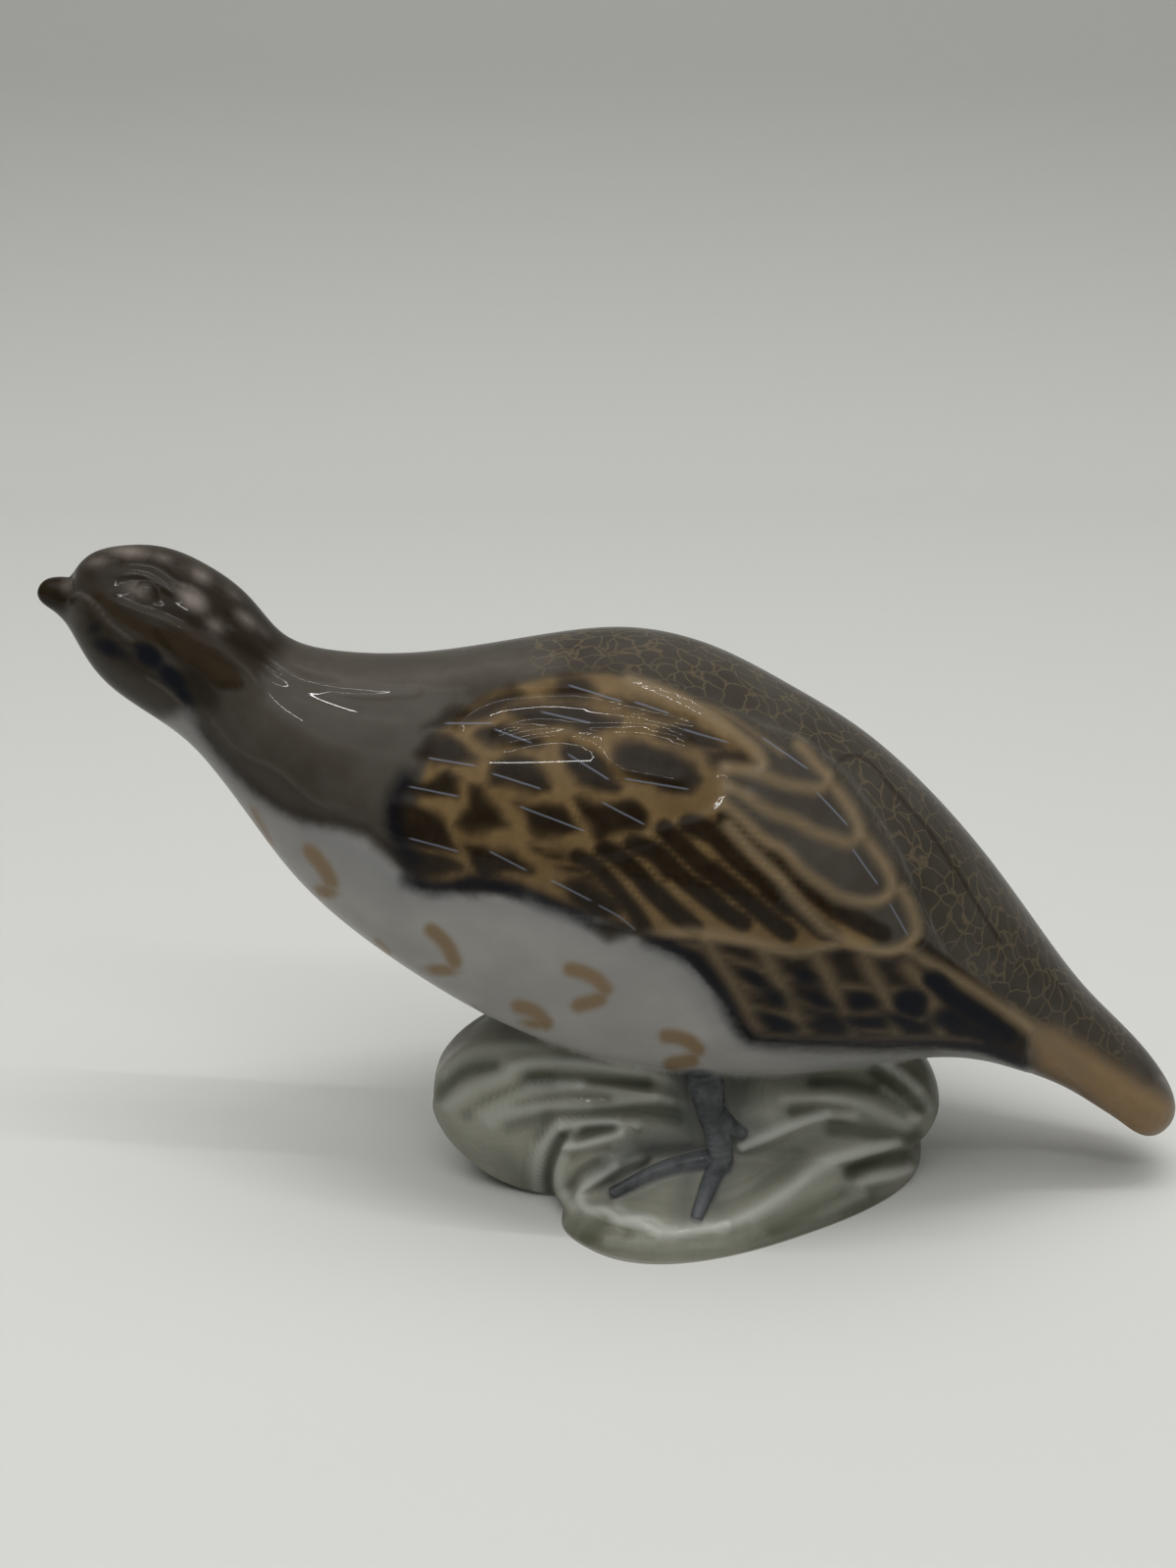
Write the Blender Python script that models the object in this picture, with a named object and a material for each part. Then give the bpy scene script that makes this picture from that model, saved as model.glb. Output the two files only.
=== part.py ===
"""A glazed porcelain partridge that stands on a rock, slip-cast as one hollow piece.

Metres, +Z up. The bird looks along -X and its flanks face -Y and +Y. The origin is at the
bottom centre of the whole figure, so the foot of the rock stands on z = 0. The body is a loft
between a line along its back and a line along its keel, the rock is a smooth union of rounded
lobes, and the legs and toes are tubes that lie on the rock. All of them are joined into one
solid, which is then hollowed to the thickness of its wall and vented through its floor.
"""
import math

import bmesh
import bpy
import numpy as np

MM = 0.001

# Driving dimensions, in millimetres
BODY_LENGTH = 222.6
BODY_HEIGHT = 120.6
BODY_WIDTH = 76.0
ROCK_LENGTH = 103.0
ROCK_DEPTH = 67.0
ROCK_HEIGHT = 42.0
BELLY_SINK = 15.4
BODY_SETBACK = 0.3
WALL = 4.0
FLOOR = 4.5
VENT_DIAMETER = 6.0
RECESS_DEPTH = 1.5
FOOT_RIM = 5.0
LEG_DIAMETER = 5.6
TOE_DIAMETER = 3.6
LEG_SPREAD = 36.0
EYE_DIAMETER = 6.4
EYE_RISE = 0.7
WING_RISE = 1.6
WING_EDGE = 2.4
FEATHER_RISE = 0.7
ROCK_FOLD_DEPTH = 1.6
ROCK_FOLD_WIDTH = 3.2

# How finely the curved surfaces are faceted
BODY_RINGS = 66
BODY_SIDES = 44
ROCK_ROWS = 24
ROCK_SIDES = 60
HOLLOW_RINGS = 18
HOLLOW_BODY_SIDES = 16
HOLLOW_ROWS = 9
HOLLOW_ROCK_SIDES = 24
TUBE_RESOLUTION = 2
VENT_SIDES = 24
EYE_SIDES = 16
FINE_RINGS = 240
FINE_SIDES = 180

# Stations of the body from beak to tail, in millimetres as drawn:
# back x, back z, keel x, keel z, half width
STATIONS = (
    (-111.4, 121.5, -111.4, 121.3, 0.2),
    (-110.4, 123.3, -110.6, 119.7, 2.0),
    (-108.0, 124.3, -108.4, 118.0, 3.3),
    (-105.2, 124.6, -106.0, 115.6, 4.8),
    (-103.2, 126.6, -103.9, 112.2, 7.2),
    (-100.2, 129.0, -101.2, 107.4, 10.0),
    (-94.5, 130.2, -97.2, 102.8, 12.2),
    (-87.5, 129.8, -91.4, 98.4, 13.0),
    (-80.0, 126.6, -85.0, 93.4, 13.2),
    (-72.8, 121.0, -79.8, 87.2, 13.5),
    (-67.0, 113.8, -74.2, 79.2, 15.5),
    (-57.5, 110.0, -66.2, 67.8, 20.0),
    (-44.0, 109.2, -54.8, 56.4, 26.0),
    (-30.0, 110.6, -39.8, 45.4, 31.5),
    (-15.0, 113.0, -22.5, 35.6, 36.0),
    (0.0, 114.0, -4.0, 29.4, 38.0),
    (15.0, 110.6, 14.0, 26.6, 38.0),
    (30.0, 103.0, 32.0, 26.6, 35.5),
    (45.0, 93.6, 49.0, 28.0, 30.5),
    (58.0, 82.0, 64.0, 28.4, 24.5),
    (70.0, 68.5, 77.0, 25.2, 19.0),
    (82.0, 52.6, 87.6, 20.6, 15.0),
    (92.5, 39.6, 94.8, 16.0, 12.8),
    (101.5, 30.6, 99.8, 12.4, 11.0),
    (107.4, 23.6, 103.8, 9.6, 8.4),
    (110.4, 18.4, 107.0, 9.2, 5.2),
    (111.2, 14.8, 109.4, 10.8, 2.4),
    (111.0, 12.9, 110.7, 12.3, 0.3),
)
DRAWN_LENGTH = 222.6
DRAWN_HEIGHT = 120.6
DRAWN_WIDTH = 76.0
DRAWN_BELLY = 26.6
MIN_HALF_WIDTH = 0.05

# Lobes of the rock as drawn: centre, half axes in plan, reach up and down, turn in degrees,
# slope of the lobe towards the back, power of the plan, powers of the section up and down
LOBES = (
    ((11.5, 0.2, 17.0), (51.5, 17.2), (25.0, 29.0), 0.0, 0.0, 2.8, (2.1, 1.7)),
    ((23.2, -7.6, -3.8), (41.7, 21.4), (19.8, 8.9), 34.0, 0.35, 2.55, (3.0, 2.4)),
    ((-4.5, -11.5, 9.0), (11.5, 9.5), (13.0, 13.0), 0.0, 0.0, 2.0, (2.2, 2.0)),
    ((17.0, 13.0, 0.0), (37.0, 19.0), (14.0, 12.0), -8.0, -0.38, 2.0, (3.0, 3.0)),
)
DRAWN_ROCK_LENGTH = 103.0
DRAWN_ROCK_DEPTH = 67.0
DRAWN_ROCK_HEIGHT = 42.0
ROCK_CORE = (16.0, -3.0, 6.0)
ROCK_BLEND = 2.5
ROCK_LIMIT = 120.0
BISECTION_COUNT = 32

# The side drawing: both flanks are drawn as seen from this place, on an upright plane
DRAWN_FROM = (-8.3, -330.0, 188.0)
WING_PLANE = -30.0
ROCK_PLANE = -25.0

# Outline of the closed wing on the side drawing, and the edges of its overlapping feathers
WING = (
    (-41, 82), (-40, 93), (-36, 103), (-30, 108), (-24, 111), (-15, 114), (-5, 115), (7, 111),
    (19, 105), (29, 101), (36, 95), (42, 88), (47, 81), (51, 69), (56, 61), (65, 54), (73, 46),
    (73, 40), (64, 42), (53, 43), (37, 44), (21, 44), (17, 52), (9, 61), (2, 64), (-5, 68),
    (-14, 70), (-21, 73), (-29, 73), (-37, 75),
)
FEATHER_EDGES = (
    ((9, 104), (15, 96), (16, 91), (11, 86), (0, 85), (-8, 80), (-15, 73)),
    ((2, 66), (16, 62), (37, 62), (49, 65), (49, 76), (44, 86)),
    ((32, 100), (37, 92), (42, 82)),
)
FEATHER_EDGE_WIDTH = 2.2

# Ridges and furrows of the rock on the side drawing; a furrow has a negative share
ROCK_FOLDS = (
    (1.0, ((-22, 36), (-16, 38), (-5, 37), (8, 35))),
    (-0.8, ((-20, 31), (-12, 32), (-2, 33))),
    (1.0, ((-40, 27), (-29, 32), (-16, 34))),
    (-1.0, ((-36, 24), (-26, 28), (-14, 30))),
    (1.0, ((-29, 23), (-19, 27), (-8, 29), (7, 27))),
    (-1.3, ((-15, 23), (-18, 15), (-17, 8), (-12, 1))),
    (1.2, ((-10, 10), (-10, 6), (-5, 4), (5, 1), (12, 2), (18, 2), (26, 6), (33, 10), (39, 15), (51, 20))),
    (-1.2, ((-4, 9), (6, 7), (16, 8), (26, 12), (34, 17))),
    (1.0, ((21, 19), (27, 23), (38, 26), (47, 24), (56, 24))),
    (-1.0, ((45, 37), (53, 32), (57, 26))),
)

# Centre lines of a leg and its toes, as drawn. Y runs outwards from the middle of the bird.
# The leg and the hind toe have a share of the way up from the rock to the belly
LEG_LINE = ((17.6, 18.4, -0.2), (17.0, 18.2, 0.3), (15.2, 17.6, 0.7), (13.6, 16.8, 1.3))
HIND_TOE = ((16.6, 18.2, 0.62), (20.4, 18.4, 0.42), (23.8, 18.0, 0.36))
FRONT_TOES = (
    ((17.6, 17.8), (16.4, 20.4), (14.8, 24.0), (13.4, 27.0), (12.2, 29.6)),
    ((17.0, 18.0), (12.0, 18.6), (7.0, 19.6), (1.4, 21.4), (-3.9, 23.0)),
)
LEG_SWELL = (1.0, 0.9, 1.0, 1.3)
TOE_TAPER = 0.4
TOE_LIFT = 0.2
DRAWN_SPREAD = 36.0

# Where the hollow ends in the head and in the tail, as shares of the stations
HOLLOW_START = 0.17
HOLLOW_END = 0.83

EYE_PLACE = (-89.0, 124.0)
EYE_TILT = 8.0

PORCELAIN = (0.42, 0.40, 0.38, 1.0)
PORCELAIN_ROUGHNESS = 0.12


def clear_scene():
    """Remove every object of the opened file."""
    for item in list(bpy.data.objects):
        bpy.data.objects.remove(item, do_unlink=True)


def new_collection(name):
    """Make a collection in the scene."""
    collection = bpy.data.collections.new(name)
    bpy.context.scene.collection.children.link(collection)
    return collection


def smooth_step(x):
    """Ease from 0 to 1 as x goes from 0 to 1."""
    x = np.clip(x, 0.0, 1.0)
    return x * x * (3.0 - 2.0 * x)


def natural_spline(knots, values, at):
    """Values at the places 'at' of the natural cubic spline through the rows of 'values'."""
    count = len(knots)
    step = np.diff(knots)
    system = np.zeros((count, count))
    right = np.zeros_like(values)
    system[0, 0] = 1.0
    system[-1, -1] = 1.0
    for i in range(1, count - 1):
        system[i, i - 1] = step[i - 1]
        system[i, i] = 2.0 * (step[i - 1] + step[i])
        system[i, i + 1] = step[i]
        right[i] = 3.0 * ((values[i + 1] - values[i]) / step[i] - (values[i] - values[i - 1]) / step[i - 1])
    bend = np.linalg.solve(system, right)
    i = np.clip(np.searchsorted(knots, at) - 1, 0, count - 2)
    h = step[i][:, None]
    t = (at - knots[i])[:, None]
    slope = (values[i + 1] - values[i]) / h - h * (2.0 * bend[i] + bend[i + 1]) / 3.0
    return values[i] + t * (slope + t * (bend[i] + t * (bend[i + 1] - bend[i]) / (3.0 * h)))


def belly_height():
    """Height of the belly's lowest point, which sits a little way down in the rock."""
    return ROCK_HEIGHT - BELLY_SINK


def body_stations():
    """The drawn stations at the body's own length, height and width, seated on the rock."""
    drawn = np.array(STATIONS)
    along = BODY_LENGTH / DRAWN_LENGTH
    up = BODY_HEIGHT / DRAWN_HEIGHT
    drawn[:, 0] = drawn[:, 0] * along + BODY_SETBACK
    drawn[:, 2] = drawn[:, 2] * along + BODY_SETBACK
    drawn[:, 1] = (drawn[:, 1] - DRAWN_BELLY) * up + belly_height()
    drawn[:, 3] = (drawn[:, 3] - DRAWN_BELLY) * up + belly_height()
    drawn[:, 4] *= BODY_WIDTH / DRAWN_WIDTH
    return drawn


def body_rings(rings, around, inset=0.0, start=0.0, end=1.0):
    """Points of the body's rings, from beak to tail, each an oval between back and keel."""
    stations = body_stations()
    back_steps = np.hypot(np.diff(stations[:, 0]), np.diff(stations[:, 1]))
    keel_steps = np.hypot(np.diff(stations[:, 2]), np.diff(stations[:, 3]))
    rail = (back_steps + keel_steps) / 2.0
    knots = np.concatenate([[0.0], np.cumsum(np.sqrt(rail * np.maximum(rail, 1.0)))])
    at = knots[-1] * np.linspace(start, end, rings)
    section = natural_spline(knots, stations, at)
    back = section[:, 0:2]
    keel = section[:, 2:4]
    half_width = np.maximum(section[:, 4], MIN_HALF_WIDTH)
    centre = (back + keel) / 2.0
    arm = (back - keel) / 2.0
    if inset > 0.0:
        arm = arm * (1.0 - inset / np.hypot(arm[:, 0], arm[:, 1]))[:, None]
        half_width = half_width - inset
    turn = np.linspace(0.0, 2.0 * math.pi, around, endpoint=False)
    points = np.zeros((rings, around, 3))
    points[:, :, 0] = centre[:, 0:1] + arm[:, 0:1] * np.cos(turn)
    points[:, :, 2] = centre[:, 1:2] + arm[:, 1:2] * np.cos(turn)
    points[:, :, 1] = half_width[:, None] * np.sin(turn)
    return points


def grid_normals(points):
    """Outward unit normals of a grid of rings."""
    along = np.gradient(points, axis=0)
    about = np.roll(points, -1, axis=1) - np.roll(points, 1, axis=1)
    normals = np.cross(along, about)
    length = np.linalg.norm(normals, axis=2, keepdims=True)
    normals = normals / np.maximum(length, 1e-9)
    centre = points.mean(axis=1, keepdims=True)
    facing = np.sum(normals * (points - centre))
    return normals if facing > 0.0 else -normals


def on_drawing(points, plane):
    """Places of the points on the side drawing; the far flank uses the mirrored drawing."""
    eye = np.array(DRAWN_FROM)
    near = points.copy()
    near[..., 1] = -np.abs(near[..., 1])
    share = (plane - eye[1]) / (near[..., 1] - eye[1])
    x = eye[0] + (near[..., 0] - eye[0]) * share
    z = eye[2] + (near[..., 2] - eye[2]) * share
    return np.stack([x, z], axis=-1)


def distance_to_line(places, line):
    """Shortest distance from the places to a line of points."""
    nearest = np.full(places.shape[:-1], np.inf)
    for start, end in zip(line[:-1], line[1:]):
        a = np.array(start, float)
        run = np.array(end, float) - a
        share = np.clip(((places - a) @ run) / (run @ run), 0.0, 1.0)
        gap = np.linalg.norm(places - a - share[..., None] * run, axis=-1)
        nearest = np.minimum(nearest, gap)
    return nearest


def inside_outline(places, outline):
    """True where a place lies within the closed outline."""
    inside = np.zeros(places.shape[:-1], bool)
    x = places[..., 0]
    z = places[..., 1]
    for (ax, az), (bx, bz) in zip(outline, outline[1:] + outline[:1]):
        crosses = (az > z) != (bz > z)
        reach = ax + (z - az) * (bx - ax) / ((bz - az) or 1e-9)
        inside ^= crosses & (x < reach)
    return inside


def wing_relief(points):
    """How far the closed wing and its feather edges stand out from the flank."""
    places = on_drawing(points, WING_PLANE)
    edge = distance_to_line(places, WING + WING[:1])
    depth = np.where(inside_outline(places, WING), edge, -edge)
    rise = WING_RISE * smooth_step(0.5 + depth / WING_EDGE)
    for line in FEATHER_EDGES:
        gap = distance_to_line(places, line) / FEATHER_EDGE_WIDTH
        rise = rise + FEATHER_RISE * np.exp(-gap * gap)
    return rise


def lobe_value(points, lobe):
    """A lobe's measure of each point: under 1 inside it, over 1 outside."""
    (cx, cy, cz), (half_x, half_y), (up, down), turn, slope, plan_power, powers = lobe
    long = ROCK_LENGTH / DRAWN_ROCK_LENGTH
    deep = ROCK_DEPTH / DRAWN_ROCK_DEPTH
    tall = ROCK_HEIGHT / DRAWN_ROCK_HEIGHT
    x = points[:, 0] / long - cx
    y = points[:, 1] / deep - cy
    z = points[:, 2] / tall - cz - slope * y
    c = math.cos(math.radians(turn))
    s = math.sin(math.radians(turn))
    plan = np.abs((x * c + y * s) / half_x) ** plan_power + np.abs((y * c - x * s) / half_y) ** plan_power
    rise = np.abs(z / np.where(z > 0.0, up, down))
    power = np.where(z > 0.0, powers[0], powers[1])
    return plan ** (power / plan_power) + rise ** power


def rock_reach(start, directions, inset=0.0):
    """Distance from a place in the rock to its surface along each direction."""
    total = np.zeros(len(directions))
    for lobe in LOBES:
        low = np.zeros(len(directions))
        high = np.full(len(directions), ROCK_LIMIT)
        for _ in range(BISECTION_COUNT):
            middle = (low + high) / 2.0
            inside = lobe_value(start + directions * middle[:, None], lobe) < 1.0
            low = np.where(inside, middle, low)
            high = np.where(inside, high, middle)
        share = np.clip(0.5 + 0.5 * (low - total) / ROCK_BLEND, 0.0, 1.0)
        total = total * (1.0 - share) + low * share + ROCK_BLEND * share * (1.0 - share)
    return total - inset


def rock_core():
    """The place inside the rock from which its surface is measured."""
    x, y, z = ROCK_CORE
    return np.array([
        x * ROCK_LENGTH / DRAWN_ROCK_LENGTH,
        y * ROCK_DEPTH / DRAWN_ROCK_DEPTH,
        z * ROCK_HEIGHT / DRAWN_ROCK_HEIGHT,
    ])


def foot_outline(around, inset=0.0):
    """Points of the rock's outline on the ground, drawn in by the inset."""
    core = rock_core()
    core[2] = 0.0
    turn = np.linspace(0.0, 2.0 * math.pi, around, endpoint=False)
    directions = np.stack([np.cos(turn), np.sin(turn), np.zeros(around)], axis=-1)
    return core + directions * rock_reach(core, directions, inset)[:, None]


def rock_rows(rows, around, inset=0.0, bottom=0.0):
    """Rows of points over the rock, from its top down to its outline at the bottom."""
    core = rock_core()
    foot = foot_outline(around, inset)
    foot[:, 2] = bottom
    to_foot = foot - core
    length = np.linalg.norm(to_foot, axis=1)
    lowest = np.arccos(to_foot[:, 2] / length)
    flat = np.stack([to_foot[:, 0], to_foot[:, 1]], axis=-1)
    flat = flat / np.linalg.norm(flat, axis=1, keepdims=True)
    points = np.zeros((rows, around, 3))
    for k in range(rows):
        tilt = lowest * k / (rows - 1)
        directions = np.stack(
            [np.sin(tilt) * flat[:, 0], np.sin(tilt) * flat[:, 1], np.cos(tilt)], axis=-1)
        points[k] = core + directions * rock_reach(core, directions, inset)[:, None]
    points[-1] = foot
    return points


def fold_relief(points):
    """Ridges and furrows of the rock, fading out towards its foot."""
    places = on_drawing(points, ROCK_PLANE)
    rise = np.zeros(points.shape[:-1])
    for share, line in ROCK_FOLDS:
        gap = distance_to_line(places, line) / ROCK_FOLD_WIDTH
        rise = rise + share * ROCK_FOLD_DEPTH * np.exp(-gap * gap)
    return rise * smooth_step(points[..., 2] / ROCK_FOLD_WIDTH)


def object_from_grid(name, points, collection, first_cap="point", last_cap="point"):
    """Make a closed mesh object from rows of rings, each end closed by a point or a flat face."""
    rows, around = points.shape[:2]
    mesh = bmesh.new()
    first = 1 if first_cap == "point" else 0
    last = rows - 1 if last_cap == "point" else rows
    rings = []
    for k in range(first, last):
        rings.append([mesh.verts.new(point * MM) for point in points[k]])
    for upper, lower in zip(rings[:-1], rings[1:]):
        for j in range(around):
            following = (j + 1) % around
            mesh.faces.new((upper[j], upper[following], lower[following], lower[j]))
    for kind, ring, row in ((first_cap, rings[0], points[0]), (last_cap, rings[-1], points[-1])):
        if kind == "flat":
            mesh.faces.new(ring)
            continue
        tip = mesh.verts.new(row.mean(axis=0) * MM)
        for j in range(around):
            mesh.faces.new((ring[j], ring[(j + 1) % around], tip))
    bmesh.ops.recalc_face_normals(mesh, faces=mesh.faces)
    data = bpy.data.meshes.new(name)
    mesh.to_mesh(data)
    mesh.free()
    item = bpy.data.objects.new(name, data)
    collection.objects.link(item)
    return item


def make_body(collection):
    """The bird's body, with its closed wings in low relief."""
    points = body_rings(BODY_RINGS, BODY_SIDES)
    points = points + grid_normals(points) * wing_relief(points)[..., None]
    return object_from_grid("partridge_figurine", points, collection)


def make_rock(collection):
    """The folded rock under the bird, flat at its foot."""
    points = rock_rows(ROCK_ROWS, ROCK_SIDES)
    points = points + grid_normals(points) * fold_relief(points)[..., None]
    points[-1, :, 2] = 0.0
    return object_from_grid("rock", points, collection, last_cap="flat")


def rock_height(x, y):
    """Height of the rock's surface over a place on the ground."""
    low = 0.0
    high = ROCK_LIMIT
    for _ in range(BISECTION_COUNT):
        middle = (low + high) / 2.0
        place = np.array([[x, y, middle]])
        if min(lobe_value(place, lobe)[0] for lobe in LOBES) < 1.0:
            low = middle
        else:
            high = middle
    return low


def make_tube(name, points, diameters, collection):
    """A tapered tube along the points, for a leg or a toe, as a closed mesh."""
    curve = bpy.data.curves.new(name, "CURVE")
    curve.dimensions = "3D"
    curve.bevel_depth = MM / 2.0
    curve.bevel_resolution = TUBE_RESOLUTION
    curve.use_fill_caps = True
    spline = curve.splines.new("POLY")
    spline.points.add(len(points) - 1)
    for control, (x, y, z), diameter in zip(spline.points, points, diameters):
        control.co = (x * MM, y * MM, z * MM, 1.0)
        control.radius = diameter
    holder = bpy.data.objects.new(name, curve)
    collection.objects.link(holder)
    evaluated = holder.evaluated_get(bpy.context.evaluated_depsgraph_get())
    data = bpy.data.meshes.new_from_object(evaluated)
    mesh = bmesh.new()
    mesh.from_mesh(data)
    bmesh.ops.remove_doubles(mesh, verts=mesh.verts, dist=0.01 * MM)
    bmesh.ops.recalc_face_normals(mesh, faces=mesh.faces)
    mesh.to_mesh(data)
    mesh.free()
    tube = bpy.data.objects.new(name, data)
    tube.matrix_world = holder.matrix_world
    collection.objects.link(tube)
    bpy.data.objects.remove(holder, do_unlink=True)
    return tube


def leg_place(x, outward, side):
    """Place on the ground under a drawn point of a leg, on the flank that 'side' names."""
    return x * ROCK_LENGTH / DRAWN_ROCK_LENGTH, side * outward * LEG_SPREAD / DRAWN_SPREAD


def on_rock(x, outward, side):
    """Centre of a toe that lies on the rock at a drawn place."""
    place_x, place_y = leg_place(x, outward, side)
    return place_x, place_y, rock_height(place_x, place_y) + TOE_DIAMETER * TOE_LIFT


def up_leg(x, outward, share, side):
    """A point of the leg, at a share of the way up from the rock to the belly."""
    place_x, place_y = leg_place(x, outward, side)
    low = on_rock(*LEG_LINE[0][:2], side)[2]
    return place_x, place_y, low + share * (belly_height() + LEG_DIAMETER / 2.0 - low)


def make_leg(collection, side, label):
    """One leg and its toes, which lie on the rock."""
    points = [up_leg(x, outward, share, side) for x, outward, share in LEG_LINE]
    diameters = [LEG_DIAMETER * swell for swell in LEG_SWELL]
    tubes = [make_tube("leg_" + label, points, diameters, collection)]
    lines = [[on_rock(x, outward, side) for x, outward in line] for line in FRONT_TOES]
    lines.append([up_leg(x, outward, share, side) for x, outward, share in HIND_TOE])
    for number, line in enumerate(lines):
        steps = np.linspace(0.0, 1.0, len(line))
        diameters = TOE_DIAMETER * (1.0 + TOE_TAPER / 2.0 - TOE_TAPER * steps)
        tubes.append(make_tube(f"toe_{label}_{number}", line, diameters, collection))
    return tubes


def flank_point(x, z, side):
    """The point of the bird's flank at a drawn place, seen square from the side."""
    x = x * BODY_LENGTH / DRAWN_LENGTH + BODY_SETBACK
    z = (z - DRAWN_BELLY) * BODY_HEIGHT / DRAWN_HEIGHT + belly_height()
    points = body_rings(FINE_RINGS, FINE_SIDES).reshape(-1, 3)
    points = points[points[:, 1] > 0.0]
    nearest = np.argmin(np.hypot(points[:, 0] - x, points[:, 2] - z))
    return points[nearest] * np.array([1.0, side, 1.0])


def make_eye(collection, side, label):
    """One eye, a low round dome on the side of the head."""
    mesh = bmesh.new()
    bmesh.ops.create_uvsphere(mesh, u_segments=EYE_SIDES, v_segments=EYE_SIDES // 2,
                              radius=EYE_DIAMETER / 2.0 * MM)
    data = bpy.data.meshes.new("eye_" + label)
    mesh.to_mesh(data)
    mesh.free()
    eye = bpy.data.objects.new("eye_" + label, data)
    place = flank_point(*EYE_PLACE, side)
    inward = place - np.array([place[0], 0.0, place[2] - EYE_TILT])
    inward = inward / np.linalg.norm(inward)
    eye.location = (place - inward * (EYE_DIAMETER / 2.0 - EYE_RISE)) * MM
    collection.objects.link(eye)
    return eye


def make_hollows(collection):
    """The space that the slip leaves when it is poured out, in the bird and in the rock."""
    body = object_from_grid(
        "hollow_body",
        body_rings(HOLLOW_RINGS, HOLLOW_BODY_SIDES, WALL, HOLLOW_START, HOLLOW_END),
        collection)
    rock = object_from_grid(
        "hollow_rock",
        rock_rows(HOLLOW_ROWS, HOLLOW_ROCK_SIDES, WALL + ROCK_FOLD_DEPTH, FLOOR),
        collection, last_cap="flat")
    return [body, rock]


def make_foot_cutters(collection):
    """The shallow recess that leaves a rim to stand on, and the vent through the floor."""
    outline = foot_outline(ROCK_SIDES, FOOT_RIM)
    low = outline.copy()
    low[:, 2] = -RECESS_DEPTH
    high = outline.copy()
    high[:, 2] = RECESS_DEPTH
    recess = object_from_grid("recess", np.stack([high, low]), collection, "flat", "flat")
    core = rock_core()
    mesh = bmesh.new()
    bmesh.ops.create_cone(mesh, cap_ends=True, segments=VENT_SIDES, radius1=VENT_DIAMETER / 2.0 * MM,
                          radius2=VENT_DIAMETER / 2.0 * MM, depth=4.0 * FLOOR * MM)
    data = bpy.data.meshes.new("vent")
    mesh.to_mesh(data)
    mesh.free()
    vent = bpy.data.objects.new("vent", data)
    vent.location = (core[0] * MM, core[1] * MM, 0.0)
    collection.objects.link(vent)
    return [recess, vent]


def add_boolean(target, operation, tool):
    """Join the tool to the target or cut it out, and keep the tool out of sight."""
    modifier = target.modifiers.new(tool.name, "BOOLEAN")
    modifier.operation = operation
    modifier.solver = "EXACT"
    modifier.object = tool
    tool.hide_render = True
    tool.display_type = "WIRE"


def porcelain_material():
    """Glazed porcelain: smooth and glossy, with the figure's mean colour."""
    material = bpy.data.materials.new("glazed_porcelain")
    material.use_nodes = True
    shader = material.node_tree.nodes["Principled BSDF"]
    shader.inputs["Base Color"].default_value = PORCELAIN
    shader.inputs["Roughness"].default_value = PORCELAIN_ROUGHNESS
    shader.inputs["Metallic"].default_value = 0.0
    return material


def main():
    """Build the figure as one solid."""
    clear_scene()
    parts = new_collection("partridge")
    cutters = new_collection("cutters")
    figure = make_body(parts)
    figure.data.materials.append(porcelain_material())
    joined = [make_rock(cutters)]
    for side, label in ((-1.0, "near"), (1.0, "far")):
        joined.extend(make_leg(cutters, side, label))
        joined.append(make_eye(cutters, side, label))
    for tool in joined:
        add_boolean(figure, "UNION", tool)
    for tool in make_hollows(cutters) + make_foot_cutters(cutters):
        add_boolean(figure, "DIFFERENCE", tool)
    figure.data.shade_smooth()


main()
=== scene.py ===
"""Looks of a porcelain partridge that stands on a folded rock, painted under a clear gloss glaze.

The figure is one piece. Its body, rock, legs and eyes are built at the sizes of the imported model,
in millimetres, joined into one mesh, softened where they meet as glaze does, and hollowed. The
painting is laid on in strokes: each is a line or a patch in the picture's own pixels, and every
point of the mesh is looked up through the picture's camera. The far flank is painted like the
near one. The material then mixes the pigments under the glaze.
"""

import logging
import math
from dataclasses import dataclass, field
from enum import Enum
from typing import Any, Callable, Sequence

import bmesh
import bpy
import numpy as np
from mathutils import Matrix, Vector
from mathutils.kdtree import KDTree

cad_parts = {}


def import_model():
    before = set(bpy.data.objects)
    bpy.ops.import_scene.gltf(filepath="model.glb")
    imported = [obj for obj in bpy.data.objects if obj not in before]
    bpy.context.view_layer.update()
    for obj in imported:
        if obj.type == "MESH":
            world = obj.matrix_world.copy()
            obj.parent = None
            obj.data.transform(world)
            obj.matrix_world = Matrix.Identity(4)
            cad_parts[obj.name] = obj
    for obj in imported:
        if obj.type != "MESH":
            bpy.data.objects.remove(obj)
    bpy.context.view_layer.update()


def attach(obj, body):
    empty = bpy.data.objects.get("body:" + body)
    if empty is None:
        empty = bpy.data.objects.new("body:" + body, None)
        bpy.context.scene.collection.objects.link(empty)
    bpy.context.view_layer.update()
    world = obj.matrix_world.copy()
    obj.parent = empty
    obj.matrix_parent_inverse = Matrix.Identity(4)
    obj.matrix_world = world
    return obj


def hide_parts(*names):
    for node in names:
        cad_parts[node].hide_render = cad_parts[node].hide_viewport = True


# Metres in a millimetre, and pixels of the picture in a millimetre of the figure.
MM = 0.001
PIXELS_PER_MM = 5.4
NODE = "partridge_figurine"
TINY = 1e-9
FULL_TURN = 2.0 * math.pi

Line = tuple[tuple[float, float], ...]
Place = tuple[float, float, float]
Colour = tuple[float, float, float]

log = logging.getLogger("partridge")


class Region(Enum):
    """Which part of the figure a face belongs to, kept as its material index until it is painted."""

    BIRD = 0
    ROCK = 1
    LEG = 2
    INSIDE = 3


def smooth_step(x: np.ndarray) -> np.ndarray:
    """Ease from 0 to 1 as x goes from 0 to 1."""
    x = np.clip(x, 0.0, 1.0)
    return x * x * (3.0 - 2.0 * x)


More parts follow.
